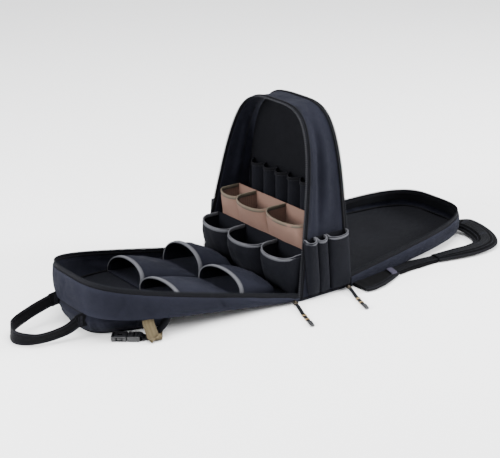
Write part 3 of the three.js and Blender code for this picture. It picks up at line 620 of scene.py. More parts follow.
air_mesh, mesh_tree, mesh_shader = new_finish("black air mesh", 0.9, 0.02)
mesh_uv = add_node(mesh_tree, "ShaderNodeUVMap", [("uv_map", "UVMap")]).outputs["UV"]
mesh_turned = add_node(mesh_tree, "ShaderNodeMapping", Vector=mesh_uv,
                       Rotation=(0, 0, math.pi / 4), Scale=(1 / 0.0024, 1 / 0.0024, 1)).outputs[0]
mesh_holes = add_node(mesh_tree, "ShaderNodeTexVoronoi", Vector=mesh_turned, Scale=1.0,
                      Randomness=0.0).outputs["Distance"]
mesh_net = add_node(mesh_tree, "ShaderNodeMapRange", Value=mesh_holes, From_Min=0.22,
                    From_Max=0.42).outputs[0]
mesh_fade = slow_noise(mesh_tree, 14.0)
mesh_base = blend_colours(mesh_tree, mesh_fade, (0.0015, 0.0015, 0.0018), (0.0055, 0.0057, 0.0066))
# The holes are painted nearly black: painted shade down in the mesh's holes.
mesh_tree.links.new(blend_colours(mesh_tree, mesh_net, (0.0005, 0.0005, 0.0006), mesh_base),
                    mesh_shader.inputs["Base Color"])
mesh_shader.inputs["Sheen Weight"].default_value = 0.01
mesh_shader.inputs["Sheen Roughness"].default_value = 0.5
relief_of(mesh_tree, mesh_shader, (mesh_net, 0.0005))
print("hard finishes and mesh ready")


# %% Helpers: wear, bindings and seams
def set_worn(obj, values):
    layer = obj.data.attributes.new("worn", "FLOAT", "POINT")
    layer.data.foreach_set("value", np.clip(np.asarray(values, float), 0, 1))


seam_pitch, band_pitch = 0.0034, 0.0036


def stitch_row(name, path, side, pitch, slot, material=None):
    return finish_piece(copy_along(name, stitch_block, path, side, pitch), material or thread, slot)


def bind(name, path, side, wide, thick, material, slot):
    """A folded tape over an edge, with one row of stitches on each face."""
    finish_piece(sweep(name, path, side, wide, thick, squareness=5), material, slot)
    out = unit(np.cross(np.gradient(np.asarray(path, float), axis=0), side))
    low = np.asarray(path) - np.asarray(side) * wide * 0.28
    for number, sign in ((1, 1), (2, -1)):
        stitch_row(f"{name}_stitches_{number}", low + out * sign * thick / 2,
                   np.asarray(side) * sign, seam_pitch, slot)


def piping(name, path, thick, material, slot, closed=False):
    """A round corded seam."""
    path = np.asarray(path, float)
    ahead = np.gradient(path, axis=0)
    side = np.cross(ahead, (0.31, 0.22, 0.92))
    tube = sweep(name, path, side, thick, thick, corners=8, squareness=2, closed=closed)
    return finish_piece(tube, material, slot)


print("trim helpers ready")

# %% [markdown]
# ## Centre compartment: the side wall
# On the real bag this is one long band of padded cloth that goes up one side, over the top and
# down the other. We give a grid the arch's outline, lean its front edge back, and press in the
# creases that the hanging cloth makes. Creases are rows in a table, so each one is easy to change.

# %% Centre side wall
def front_rim(height):
    return -half_depth + (base_depth - top_depth) * height / centre_height


# start (along the arch, in from the front), end, width, depth
wall_creases = [
    (0.120, 0.030, 0.345, 0.018, 0.0070, -0.0068),
    (0.170, 0.045, 0.350, 0.031, 0.0070, 0.0022),
    (0.060, 0.070, 0.300, 0.048, 0.0110, -0.0022),
    (0.130, 0.012, 0.250, 0.010, 0.0060, -0.0014),
    (0.020, 0.020, 0.120, 0.050, 0.0120, -0.0018),
    (0.345, 0.010, 0.400, 0.035, 0.0080, -0.0020),
    (0.440, 0.012, 0.540, 0.014, 0.0100, -0.0018),
    (0.500, 0.036, 0.600, 0.030, 0.0100, -0.0016),
    (arch_way - 0.345, 0.022, arch_way - 0.150, 0.036, 0.0080, -0.0045),
    (arch_way - 0.350, 0.034, arch_way - 0.170, 0.046, 0.0070, 0.0020),
    (arch_way - 0.280, 0.050, arch_way - 0.060, 0.068, 0.0110, -0.0022),
]


def centre_relief(share, level):
    s = share * arch_way
    t = level * (0.115 - 0.065 * np.clip(np.sin(share * np.pi), 0, 1))
    edge = np.clip(np.minimum(level, 1 - level) / 0.16, 0, 1)
    soft = 0.0011 * ripple(s, t, 0.075, 3) + 0.0005 * ripple(s, t, 0.028, 8)
    return (folds(s, t, wall_creases) + soft) * edge


def centre_point(share, front, rear, level, inset=0.0, relief=0.0):
    """A point of the arch: front and rear give the depth at a height, level goes between them."""
    x, z, out_x, out_z, _ = arch(centre_height - floor_height, share)
    move = relief - inset
    height = floor_height + z + out_z * move
    return x + out_x * move, front(height) + (rear(height) - front(height)) * level, height


def wall_front(height):
    return front_rim(height) + zip_tape + seam


def wall_rear(height):
    return np.full_like(height, half_depth - zip_tape - seam)


centre_wall = sheet(
    "centre_side_wall", 220, 34,
    lambda u, v: centre_point(u, wall_front, wall_rear, v, 0, centre_relief(u, v)),
    (arch_way, 0.09), wall_thick, side=1,
)
wall_points = points_of(centre_wall)
to_rims = np.minimum(wall_points[:, 1] - wall_front(wall_points[:, 2]),
                     wall_rear(wall_points[:, 2]) - wall_points[:, 1])
set_worn(centre_wall, 0.3 * np.exp(-np.maximum(to_rims, 0) / 0.006))
finish_piece(centre_wall, charcoal, "cloth", "centre_gusset")
print("centre side wall", len(centre_wall.data.polygons), "faces")

# %% [markdown]
# ## Centre compartment: its two zips
# Each open rim carries half of a zip: a narrow tape with a row of teeth along its free edge. The
# front row is a lighter grey than the back row: painted highlight.
# The tape is a second grid on the same arch. The teeth are one small block that is copied at an
# even pitch, which is how a moulded zip is made.

# %% Centre zips, and the corded seams beside them
def centre_line(depth_at, inset, steps=360):
    """A line round the arch at one depth, with its outward direction."""
    share = np.linspace(0, 1, steps + 1)
    x, z, out_x, out_z, _ = arch(centre_height - floor_height, share)
    height = floor_height + z - out_z * inset
    path = np.stack([x - out_x * inset, depth_at(height), height], 1)
    return path, np.stack([out_x, 0 * out_x, out_z], 1)


def add_zip(name, tape, path, out, edge, node, tooth_finish):
    """Finishes a tape sheet and sets its teeth and stitches. edge points to the free side."""
    finish_piece(tape, zip_tape_cloth, "zip", node)
    row = copy_along(f"{name}_teeth", tooth_block, path + edge * 0.0006, edge, 0.0042)
    finish_piece(row, tooth_finish, "zip")
    stitch_row(f"{name}_stitches", path - edge * 0.0055 + out * 0.0002, edge, seam_pitch, "cloth")


def rim_front(height):
    return front_rim(height)


def rim_rear(height):
    return np.full_like(height, half_depth)


front_tape = sheet(
    "centre_front_zip_tape", 220, 4,
    lambda u, v: centre_point(u, rim_front, lambda h: rim_front(h) + zip_tape, v, 0.0006),
    (arch_way, zip_tape), 0.0012, side=1,
)
path, out = centre_line(rim_front, 0.0008)
toward_front = all_along(path, 0, -1, 0)
# These teeth are the lighter grey: painted highlight.
add_zip("centre_front", front_tape, path, out, toward_front, "centre_front_zip", tooth_plastic)

rear_tape = sheet(
    "centre_back_zip_tape", 220, 4,
    lambda u, v: centre_point(u, lambda h: rim_rear(h) - zip_tape, rim_rear, v, 0.0006),
    (arch_way, zip_tape), 0.0012, side=1,
)
path, out = centre_line(rim_rear, 0.0008)
toward_back = all_along(path, 0, 1, 0)
add_zip("centre_back", rear_tape, path, out, toward_back, "centre_back_zip", dark_tooth_plastic)

seam_path, seam_out = centre_line(lambda h: rim_front(h) + zip_tape, 0.0)
piping("centre_front_piping", seam_path + seam_out * 0.0004, 0.0032, dark_binding, "cloth")
seam_path, seam_out = centre_line(lambda h: rim_rear(h) - zip_tape, 0.0)
piping("centre_back_piping", seam_path + seam_out * 0.0006, 0.0052, dark_binding, "cloth")
for number, depth in ((1, 0.0045), (2, 0.0075)):
    run_path, run_out = centre_line(lambda h: rim_front(h) + zip_tape + depth, 0.0)
    stitch_row(f"centre_wall_stitches_{number}", run_path + run_out * 0.0002,
               all_along(run_path, 0, 1, 0), seam_pitch, "cloth")
print("centre zips ready")

# %% [markdown]
# ## Base and divider
# The base is a stiffened plate in the same cloth, with a corded seam round it. It starts as a
# cube at its size; its upright edges are bevelled round and its rim is softened. The divider is a
# grid that fills the arch, a little slack between its seams.

# %% Base plate with its corded seam
bpy.ops.object.select_all(action="DESELECT")
bpy.ops.mesh.primitive_cube_add(size=1, location=(0, 0, 0))
base_plate = bpy.context.object
base_plate.name = base_plate.data.name = "base_plate"
move_points(base_plate, (points_of(base_plate) + (0, 0, 0.5))
            * np.array((bag_width, base_depth, base_thick)))
bevel_edges(base_plate, lambda a, b: abs(a.z - b.z) > 0.001, 2 * base_thick, 8)
bevel_edges(base_plate, lambda a, b: abs(a.z - b.z) < 0.0001, 0.0012, 2)
in_edit(base_plate, lambda: bpy.ops.uv.cube_project(cube_size=1.0))
finish_piece(base_plate, charcoal, "cloth", "centre_base")
corner = 2 * base_thick
outline = []
for centre_x, centre_y, start in ((1, -1, -90), (1, 1, 0), (-1, 1, 90), (-1, -1, 180)):
    for angle in np.radians(start + np.linspace(0, 90, 7)):
        outline.append((centre_x * (half_width - corner) + corner * math.cos(angle),
                        centre_y * (half_depth - corner) + corner * math.sin(angle),
                        base_thick))
outline.append(outline[0])
piping("base_piping", resample(np.array(outline), pitch=0.004)[0], 0.0034, dark_binding, "cloth")
print("base plate", len(base_plate.data.polygons), "faces")

# %% Divider
divider_rear = half_depth - 0.020
panel_thick = 0.004


def arch_panel(name, length, place, size, thick, side):
    """A sheet that fills the arch. Its rows crowd towards the round end."""
    def spread(u, v):
        rise = 1 - (1 - v) ** 3
        reach = np.maximum(arch_reach(rise) - wall_thick - 0.002, 0)
        return place((2 * u - 1) * reach, rise * length)
    return sheet(name, 60, 60, spread, size, thick, side)


divider = arch_panel(
    "centre_divider", centre_height - floor_height - 0.005,
    lambda x, z: (x, divider_rear - 0.0012 - 0.0008 * ripple(x, z, 0.12, 5), floor_height + z),
    (bag_width, centre_height), panel_thick - 0.001, side=1,
)
finish_piece(divider, lining, "cloth", "centre_back_panel")
print("divider", len(divider.data.polygons), "faces")

# %% [markdown]
# ## Pockets
# A pocket is a flat back with a front that bows out, sewn shut at its foot and bound at its mouth.
# We wrap one grid round it like a sleeve: its first rows close the foot, the others climb to the
# mouth. Tables say how wide and how full it stands at each height, and small creases gather
# above the foot. The mouth gets a folded binding with a row of stitches on each face.

# %% Helper: a pocket and its bound mouth
foot_rows = 0.12
section_marks = (0.25, 0.30, 0.95)


def pocket_section(u, reach, side, crown):
    """Across and outwards along a pocket's section, how far it bows, and its outward direction."""
    first, second, third = section_marks
    angle = np.pi * np.clip((u - second) / (third - second), 0, 1)
    bow = np.sin(angle) ** 0.8
    across = np.where(u < first, reach * (2 * u / first - 1), reach * np.cos(angle))
    rising = np.clip((u - first) / (second - first), 0, 1)
    falling = np.clip((1 - u) / (1 - third), 0, 1)
    base = np.where(u <= second, rising, np.where(u >= third, falling, 1.0))
    base = np.where(u < first, 0, base)
    outwards = side * base + np.where((u > second) & (u < third), crown * bow, 0)
    front = (u > second) & (u < third)
    return across, outwards, np.where(front, bow, 0), np.where(front, np.sin(angle), 0)


def pocket(name, rows, half, side, crown, height, place, cloth, binding, slot, node,
           seed=1, bind_wide=0.008, creases=0.0012, columns=80, tall=34):
    """rows hold shares: up the height, of the width, of the side, of the crown, and the dip."""
    table = np.array(rows, float)

    def column(up, index):
        return np.interp(up, table[:, 0], table[:, index])

    def point(u, up, push=0.0):
        wide = column(up, 1) * half
        across, outwards, bow, lead = pocket_section(u, wide, side * column(up, 2),
                                                     crown * column(up, 3))
        rise = height * (up - column(up, 4) * bow)
        return across, outwards + push * lead, rise

    def spread(u, v):
        up = np.clip((v - foot_rows) / (1 - foot_rows), 0, 1)
        shrink = np.clip(v / foot_rows, 0, 1)
        s, t = u * 2 * (half + side + crown), up * height
        gather = np.exp(-(up / 0.22) ** 2)
        push = creases * (ripple(s, t, 0.05, seed) - 0.9) * np.sin(np.pi * np.clip(up, 0, 1)) ** 0.5
        push = push + creases * 0.9 * (ripple(s, t * 0.4, 0.022, seed + 4) - 0.7) * gather
        across, outwards, rise = point(u, up, push)
        middle = side * 0.5
        return place(across * shrink, middle + (outwards - middle) * shrink, rise)

    around = 2 * (half + side + crown)
    obj = sheet(name, columns, tall, spread, (around, height), 0.0016, side=-1)
    finish_piece(obj, cloth, slot, node)
    first, second, third = section_marks
    u = np.concatenate([np.linspace(first + 0.003, second, 6)[:-1], np.linspace(second, third, 61),
                        np.linspace(third, 0.997, 6)[1:]])
    mouth = np.stack(place(*point(u, np.full_like(u, 1.0))), 1)
    below = np.stack(place(*point(u, np.full_like(u, 0.97))), 1)
    rising = unit(mouth - below)
    bind(f"{name}_binding", mouth - rising * bind_wide * 0.42, rising, bind_wide, 0.0032, binding,
         slot)


print("pocket helper ready")

# %% Lower and middle rows of pockets
divider_front = divider_rear - panel_thick
tan_side, tan_crown, tan_height = 0.042, 0.026, 0.147
lower_side, lower_crown, lower_height = 0.030, 0.038, 0.090
tan_back = divider_front - 0.028 + seam
lower_back = tan_back - tan_side - tan_crown * 0.3 - seam
row_half = half_width - 0.014
lower_rows = [(0, 0.96, 1, 0.05, 0), (0.15, 0.98, 1, 0.36, 0), (0.3, 1, 1, 0.6, 0),
              (0.5, 1, 1, 0.86, 0), (0.7, 1, 1, 1, 0), (0.85, 1, 1, 0.98, 0.02),
              (1, 1, 1, 0.92, 0.07)]
tan_rows = [(0, 0.96, 1, 0.1, 0), (0.6, 1, 1, 0.2, 0), (0.72, 1, 1, 0.55, 0),
            (0.82, 1, 1, 0.8, 0), (0.92, 1, 1, 0.95, 0.015), (1, 1, 1, 1, 0.04)]


def upright_place(centre_x, rear):
    return lambda across, outwards, rise: (centre_x + across, rear - outwards, floor_height + rise)


# place, from and to as shares of the row, and how full it stands
for place_name, start, end, full in (("left", -1, -0.36, 0.75), ("middle", -0.36, 0.36, 1),
                                     ("right", 0.36, 1, 0.85)):
    pocket(f"lower_pocket_{place_name}_cloth", lower_rows, row_half * (end - start) / 2 - seam,
           lower_side, lower_crown * full, lower_height,
           upright_place(row_half * (start + end) / 2, lower_back), black_cloth, grey_binding,
           "pocket_cloth", f"lower_pocket_{place_name}", seed=len(place_name))
for place_name, start, end, full in (("left", -0.95, -0.54, 0.55), ("middle", -0.54, 0.12, 1),
                                     ("right", 0.12, 0.9, 1)):
    pocket(f"tan_pocket_{place_name}_cloth", tan_rows, row_half * (end - start) / 2 - seam,
           tan_side, tan_crown * full, tan_height,
           upright_place(row_half * (start + end) / 2, tan_back), tan_cloth, khaki_binding,
           "tan_cloth", f"tan_pocket_{place_name}", seed=2 + len(place_name))
print("front and middle pocket rows ready")

# %% [markdown]
# ## Driver sleeves
# The top row is one strip, sewn to the divider at even steps so that it stands out as a row of
# tubes. One wave along the strip gives all six; it flattens towards the foot, where it is sewn.

# %% Driver sleeves
sleeve_count, sleeve_pitch, sleeve_depth = 6, 0.042, 0.020
sleeve_bottom, sleeve_height = 0.060, 0.152
sleeve_half = sleeve_count * sleeve_pitch / 2
sleeve_back = divider_front - seam


def sleeve_point(u, v):
    bow = np.abs(np.sin(np.pi * sleeve_count * u)) ** 0.7
    fullness = 0.35 + 0.65 * np.clip(v / 0.3, 0, 1) ** 0.6
    slack = 1 + 0.04 * ripple(u * 0.25, v * 0.15, 0.06, 11)
    stand = 0.002 + (sleeve_depth - 0.002) * bow * fullness * np.minimum(slack, 1)
    return (sleeve_half * (2 * u - 1), sleeve_back - stand,
            sleeve_bottom + sleeve_height * v - 0.003 * bow * np.clip(v - 0.8, 0, 1) * 5)


sleeves = sheet("driver_sleeve_strip", 96, 30, sleeve_point, (0.4, sleeve_height), 0.0016, side=-1)
finish_piece(sleeves, black_cloth, "pocket_cloth", "driver_sleeves")
edge_u = np.linspace(0, 1, 193)
top_edge = np.stack(sleeve_point(edge_u, np.full_like(edge_u, 0.972)), 1)
bind("driver_sleeve_binding", top_edge, all_along(top_edge, 0, 0, 1), 0.009, 0.003, dark_binding,
     "pocket_cloth")
for number in range(1, sleeve_count):
    x = -sleeve_half + number * sleeve_pitch
    up_seam = np.linspace(sleeve_bottom + 0.004, sleeve_bottom + sleeve_height - 0.004, 60)
    line = np.stack([np.full(60, x), np.full(60, sleeve_back - 0.0022), up_seam], 1)
    stitch_row(f"sleeve_seam_{number}", line, all_along(line, 1, 0, 0), seam_pitch, "pocket_cloth")
print("driver sleeves ready")

# %% [markdown]
# ## Side pockets
# Three narrow pockets sit on each side wall. They lean with the wall, so each point takes its
# place from the arch at its own height. The left side is the mirror image of the right.

# %% Side pockets
side_rows = [(0, 0.9, 1, 0.3, 0), (0.12, 0.96, 1, 0.66, 0), (0.25, 1, 1, 0.9, 0),
             (0.5, 1, 1, 0.97, 0), (0.8, 1, 1, 1, 0), (1, 1, 1, 1, 0.05)]
side_lift = 0.012


def side_place(sign, centre_y):
    def place(across, outwards, rise):
        height = side_lift + rise
        wall = arch_reach(np.clip((height - floor_height) / (centre_height - floor_height), 0, 1))
        return sign * (wall + seam + outwards), centre_y + sign * across, height
    return place


for side_name, sign in (("right", 1), ("left", -1)):
    for place_name, start, end, full in (("front", 0.175, 0.36, 0.9), ("middle", 0.38, 0.555, 0.8),
                                         ("back", 0.59, 0.97, 1)):
        pocket(f"side_pocket_{side_name}_{place_name}_cloth", side_rows,
               base_depth * (end - start) / 2, 0.006, 0.009 * full, 0.113,
               side_place(sign, -half_depth + base_depth * (start + end) / 2),
               black_cloth, grey_binding, "pocket_cloth",
               f"side_pocket_{side_name}_{place_name}", seed=3 + len(place_name),
               bind_wide=0.0075, creases=0.0006, columns=60)
print("side pockets ready")

# %% [markdown]
# ## The trays
# Each tray is the same arch laid down: a floor panel, a wall that grows taller towards the round
# end, and half a zip on its rim. The padded wall bellies out between its seams, and dents where
# nothing holds it up. A small dictionary keeps the measures of one tray together.

# %% Tray measures
tray_bulge = 0.003


def tray_measures(facing, length, floor_hinge, floor_end, rim_hinge, rim_end):
    hinge = half_depth + seam
    return {
        "facing": facing,
        "length": length,
        "hinge": hinge,
        "y": lambda run: facing * (hinge + run),
        "floor": lambda run: floor_hinge + (floor_end - floor_hinge) * run / length,
        "rim": lambda run: rim_hinge + (rim_end - rim_hinge) * run / length,
        "reach": lambda run: arch_reach(np.clip(run / length, 0, 1)),
        "way": arch(length, np.zeros(1))[4],
    }


front_tray = tray_measures(-1, 0.427, 0.0045, 0.0485, 0.0165, 0.118)
back_tray = tray_measures(1, 0.4025, 0.0004, 0.0206, 0.0294, 0.063)
print("tray walls run", round(front_tray["way"], 3), "and", round(back_tray["way"], 3), "m")


# %% Helper: one tray's wall, floor, zip and seams
def tray_point(tray, share, level, low, high, inset=0.0, relief=0.0):
    x, r, out_x, out_r, _ = arch(tray["length"], share)
    move = relief - inset
    run = np.maximum(0, r + out_r * move)
    return x + out_x * move, tray["y"](run), low(run) + (high(run) - low(run)) * level


def tray_line(tray, height_at, inset, steps=420):
    share = np.linspace(0, 1, steps + 1)
    x, r, out_x, out_r, _ = arch(tray["length"], share)
    run = np.maximum(0, r - out_r * inset)
    path = np.stack([x - out_x * inset, tray["y"](run), height_at(run)], 1)
    return path, np.stack([out_x, tray["facing"] * out_r, 0 * out_x], 1)


def tray_relief(tray, waves, creases, share, level, seed):
    """Swell of the padded wall, plus creases in metres along the way and up the wall."""
    swell = 0.35 + sum(push * np.exp(-((share - at) / wide) ** 2) for at, wide, push in waves)
    base = tray_bulge * (swell * np.sin(np.pi * level) - 0.6 * (1 - level) ** 3)
    s, t = share * tray["way"], level * 0.06
    edge = np.clip(np.minimum(level * 1.6, 1 - level) / 0.2, 0, 1)
    soft = 0.0010 * ripple(s, t * 0.7, 0.06, seed) + 0.0004 * ripple(s, t, 0.02, seed + 5)
    return base + (soft + folds(s, t, creases)) * edge


def add_tray(name, tray, waves, creases, seed, teeth):
    side = 1 if tray["facing"] > 0 else -1

    def tape_foot(run):
        return tray["rim"](run) - zip_tape

    def wall_top(run):
        return tape_foot(run) - seam

    runs = arch(tray["length"], np.linspace(0, 1, 241))[1]
    depths = wall_top(runs) - tray["floor"](runs)
    wall = sheet(
        f"{name}_wall", 240, 22,
        lambda u, v: tray_point(tray, u, v, tray["floor"], wall_top, 0,
                                tray_relief(tray, waves, creases, u, v, seed)),
        (tray["way"], 0.06), wall_thick, side,
    )
    points = points_of(wall)
    run = np.abs(points[:, 1]) - tray["hinge"]
    set_worn(wall, 0.3 * np.exp(-np.maximum(wall_top(run) - points[:, 2], 0) / 0.006)
             + 0.25 * np.exp(-np.maximum(points[:, 2] - tray["floor"](run), 0) / 0.008))
    finish_piece(wall, charcoal, "cloth", f"{name}_gusset")
    tape = sheet(
        f"{name}_zip_tape", 240, 4,
        lambda u, v: tray_point(tray, u, v, tape_foot, tray["rim"], 0.0006),
        (tray["way"], zip_tape), 0.0012, side,
    )
    path, out = tray_line(tray, tray["rim"], 0.0008)
    add_zip(name, tape, path, out, all_along(path, 0, 0, 1), f"{name}_zip", teeth)
    run_path, run_out = tray_line(tray, tape_foot, 0.0)
    piping(f"{name}_rim_piping", run_path + run_out * 0.0004, 0.0030, dark_binding, "cloth")
    foot_path = tray_line(tray, lambda run: tray["floor"](run) + 0.0022, 0.0022)[0]
    piping(f"{name}_foot_piping", foot_path, 0.0040, dark_binding, "cloth")
    inner_path = tray_line(tray, lambda run: tray["floor"](run) + 0.0055, 0.0058)[0]
    piping(f"{name}_inner_seam", inner_path, 0.0036, dark_binding, "cloth")
    for number, drop in ((1, 0.0045), (2, 0.0075)):
        line = tray_line(tray, lambda run: tape_foot(run) - drop, -0.0006)[0]
        stitch_row(f"{name}_wall_stitches_{number}", line, all_along(line, 0, 0, 1), seam_pitch,
                   "cloth")
    panel = arch_panel(
        f"{name}_floor", tray["length"] - 0.005,
        lambda x, run: (x, tray["y"](run),
                        tray["floor"](run) + panel_thick - 0.0008
                        + 0.0008 * ripple(x, run, 0.11, seed + 2)),
        (bag_width, tray["length"]), panel_thick - 0.001, side=1 if tray["facing"] < 0 else -1,
    )
    finish_piece(panel, lining if side > 0 else black_cloth, "cloth", f"{name}_panel")
    print(name, "wall", len(wall.data.polygons), "faces, floor", len(panel.data.polygons))


# %% Front tray
front_waves = [(0.12, 0.06, 0.5), (0.27, 0.05, 0.6), (0.5, 0.1, 0.5), (0.8, 0.08, 0.6)]
front_creases = [
    (0.060, 0.010, 0.140, 0.050, 0.0070, -0.0016),
    (0.165, 0.004, 0.185, 0.052, 0.0060, -0.0022),
    (0.235, 0.020, 0.290, 0.008, 0.0080, -0.0020),
    (0.330, 0.004, 0.345, 0.050, 0.0090, -0.0022),
    (0.372, 0.054, 0.392, 0.010, 0.0060, -0.0028),
    (0.430, 0.016, 0.520, 0.020, 0.0100, -0.0018),
    (0.520, 0.050, 0.545, 0.006, 0.0080, -0.0022),
    (0.610, 0.006, 0.640, 0.050, 0.0080, -0.0020),
    (0.720, 0.030, 0.800, 0.012, 0.0090, -0.0018),
    (0.850, 0.006, 0.870, 0.050, 0.0070, -0.0020),
]
add_tray("front_tray", front_tray, front_waves, front_creases, 4, dark_tooth_plastic)

# %% Back tray, with the black band inside its rim
back_waves = [(0.22, 0.06, 0.6), (0.36, 0.05, 0.4), (0.62, 0.08, 0.5)]
back_creases = [
    (0.090, 0.006, 0.150, 0.050, 0.0070, -0.0016),
    (0.215, 0.008, 0.235, 0.052, 0.0060, -0.0022),
    (0.300, 0.040, 0.360, 0.012, 0.0080, -0.0018),
    (0.420, 0.006, 0.440, 0.050, 0.0080, -0.0020),
    (0.560, 0.050, 0.600, 0.010, 0.0080, -0.0020),
    (0.700, 0.010, 0.740, 0.050, 0.0080, -0.0020),
]
add_tray("back_tray", back_tray, back_waves, back_creases, 9, dark_tooth_plastic)
rim_band = sheet(
    "back_tray_rim_band", 240, 6,
    lambda u, v: tray_point(back_tray, u, v, lambda run: back_tray["rim"](run) - 0.023,
                            lambda run: back_tray["rim"](run) - 0.0085, 0.0036
                            + 0.0004 * ripple(u * 1.1, v * 0.02, 0.05, 6)),
    (back_tray["way"], 0.0145), 0.0008, side=1,
)
finish_piece(rim_band, lining, "cloth")
print("trays ready")

# %% [markdown]
# ## Pockets on the front tray's floor
# Four flat pockets lie on the tray with their mouths towards the round end. They are the same
# wrapped grid as before; only the place function changes, because these lie on a sloping floor.

# %% Tray pockets
tray_rows = [(0, 0.94, 0.75, 0.12, 0), (0.15, 0.97, 0.9, 0.36, 0), (0.35, 1, 1, 0.62, 0),
             (0.55, 1, 1, 0.84, 0), (0.75, 1, 1, 1, 0), (0.9, 1, 1, 1.02, 0.03),
             (1, 1, 1, 1, 0.08)]
tray_pocket_width, tray_pocket_middle, tray_pocket_crown = 0.133, 0.010, 0.032


def tray_place(centre_x, start_run):
    def place(across, outwards, rise):
        run = start_run + rise
        return (centre_x + across, front_tray["y"](run),
                front_tray["floor"](run) + panel_thick + seam + outwards)
    return place


# place, side, from and to along the tray, width, how full, and how far the fullness reaches down
for place_name, sign, start, end, wide, full, firm in (
        ("far_hinge", -1, 0.07, 0.28, 1, 1.5, 0.45),
        ("near_hinge", 1, 0.07, 0.28, 1.07, 1.15, 0.45),
        ("far_end", -1, 0.29, 0.615, 0.93, 1.1, 0),
        ("near_end", 1, 0.29, 0.615, 1.02, 0.9, 0)):
    half = tray_pocket_width * wide / 2
    rows = [(up, width, depth, crown + (1 - crown) * firm, dip)
            for up, width, depth, crown, dip in tray_rows]
    pocket(f"tray_pocket_{place_name}_cloth", rows, half, 0.009, tray_pocket_crown * full,
           front_tray["length"] * (end - start),
           tray_place(sign * (half + 2 * seam) - tray_pocket_middle, front_tray["length"] * start),
           charcoal, grey_binding, "pocket_cloth", f"tray_pocket_{place_name}",
           seed=len(place_name) + 1, bind_wide=0.0095, creases=0.0018, tall=44)
print("tray pockets ready")

# %% [markdown]
# ## The outer pocket
# A soft pouch on the outside of the bag carries the end of the front tray. Its section is a
# rounded box that narrows towards the end, and it is flat where it rests on the floor. One grid
# goes out from the middle of its foot, round the foot's edge and up to the tray.

# %% Outer pocket
outer_start, outer_length = 0.244, 0.186
outer_wide, outer_narrow = 0.124, 0.072
outer_slope, outer_corner = 0.021, 4.5
outer_middle = front_tray["hinge"] + outer_start + outer_length / 2
outer_levels = np.array([(0, 1), (0.05, 0.86), (0.18, 0.55), (0.4, 0.2), (0.7, 0), (1, 0.3)])


def outer_ring(u, rise, push=0.0):
    slope = np.interp(rise, outer_levels[:, 0], outer_levels[:, 1])
    angle = 2 * np.pi * u
    power = 2 / outer_corner
    lengthwise = np.sign(np.sin(angle)) * np.abs(np.sin(angle)) ** power
    crosswise = np.sign(np.cos(angle)) * np.abs(np.cos(angle)) ** power
    slack = outer_slope * slope - push
    reach = outer_wide + (outer_narrow - outer_wide) * (1 + lengthwise) / 2 - slack
    distance = outer_middle + lengthwise * (outer_length / 2 - slack)
    room = front_tray["floor"](distance - front_tray["hinge"]) - seam
    return reach * crosswise, -distance, room * rise


def outer_spread(u, v):
    rise = np.clip((v - 0.2) / 0.8, 0, 1)
    shrink = np.clip(v / 0.2, 0, 1)
    s = u * 0.72
    push = 0.0022 * (ripple(s, rise * 0.05, 0.07, 7) - 0.6) * np.sin(np.pi * rise) \
        + 0.0007 * (ripple(s, rise * 0.05, 0.024, 2) - 0.6) * np.sin(np.pi * rise)
    x, y, z = outer_ring(u, rise, push)
    return x * shrink, -outer_middle + (y + outer_middle) * shrink, z


outer_rise = float(front_tray["floor"](outer_middle - front_tray["hinge"])) - seam
outer_pouch = sheet("outer_pocket_cloth", 160, 44, outer_spread, (0.72, 0.2), 0.002, side=1)
finish_piece(outer_pouch, charcoal, "cloth", "outer_pocket")
ring_u = np.linspace(0, 1, 241)
for seam_name, rise, lift in (("foot", 0.05, 0.0006), ("top", 0.94, 0.0)):
    ring = np.stack(outer_ring(ring_u, np.full_like(ring_u, rise), 0.0006), 1)
    ring[:, 2] = np.maximum(ring[:, 2] + lift, 0.0019)
    piping(f"outer_pocket_{seam_name}_piping", ring, 0.0034, dark_binding, "cloth", closed=True)
print("outer pocket", len(outer_pouch.data.polygons), "faces")

# %% [markdown]
# ## Webbing: grab handle and khaki strap
# Webbing is a flat woven band that bends easily one way only. We sweep a rounded rectangle along
# the CAD's own route, so each band keeps its width while it turns. The handle's two ends go 8 mm
# further into the pouch than that route, to close a gap that showed. A box of stitches fixes each
# root, as on the real bag.

# %% Helpers: loose bands
def face_of(path, side):
    """The way that a band's broad face looks, and the way ahead."""
    ahead = np.gradient(path, axis=0)
    return unit(np.cross(ahead, side)), ahead


# %% Grab handle
handle_reach, handle_wide, handle_thick = 0.117, 0.025, 0.003
handle_wall = front_tray["hinge"] + outer_start + outer_length + 2 * seam
handle_low = handle_wide / 2 + 0.002
pouch_end = outer_wide + (outer_narrow - outer_wide) * 0.95


def pouch_wall(across):
    inner = max(0.0, abs(across) - handle_thick / 2)
    cosine = (inner / pouch_end) ** (outer_corner / 2)
    lengthwise = math.sqrt(1 - cosine * cosine) ** (2 / outer_corner)
    return handle_wall - outer_length / 2 * (1 - lengthwise)


# across, out, rise, bearing, tilt, as shares of half the width, the reach and the band
handle_table = [(0.27, 0, 0.8, 0, 90), (0.27, 0.06, 0.78, 0, 90), (0.25, 0.28, 0.28, 0, 80),
                (0.19, 0.76, 0, 0, 70), (0, 1, 0, 90, 75), (-0.25, 0.88, 0.1, 150, 75),
                (-0.35, 0.5, 0.55, 180, 85), (-0.34, 0.06, 1.18, 180, 90), (-0.34, 0, 1.2, 180, 90)]
handle_rows = []
for across, out_share, rise, bearing, tilt in handle_table:
    near = pouch_wall(half_width * across)
    handle_rows.append((half_width * across,
                        -(near + (handle_wall + handle_reach - near) * out_share),
                        handle_low + handle_wide * rise, bearing, tilt, handle_wide, handle_thick))
path, side, wide, thick = strap_route(handle_rows, 140)
inwards = np.array((0, 0.008, 0))
path = np.concatenate([[path[0] + inwards], path[1:-1], [path[-1] + inwards]])
handle = sweep("grab_handle_webbing", path, side, wide, thick, corners=20, squareness=7)
finish_piece(handle, webbing, "webbing", "grab_handle")
face, ahead = face_of(path, side)
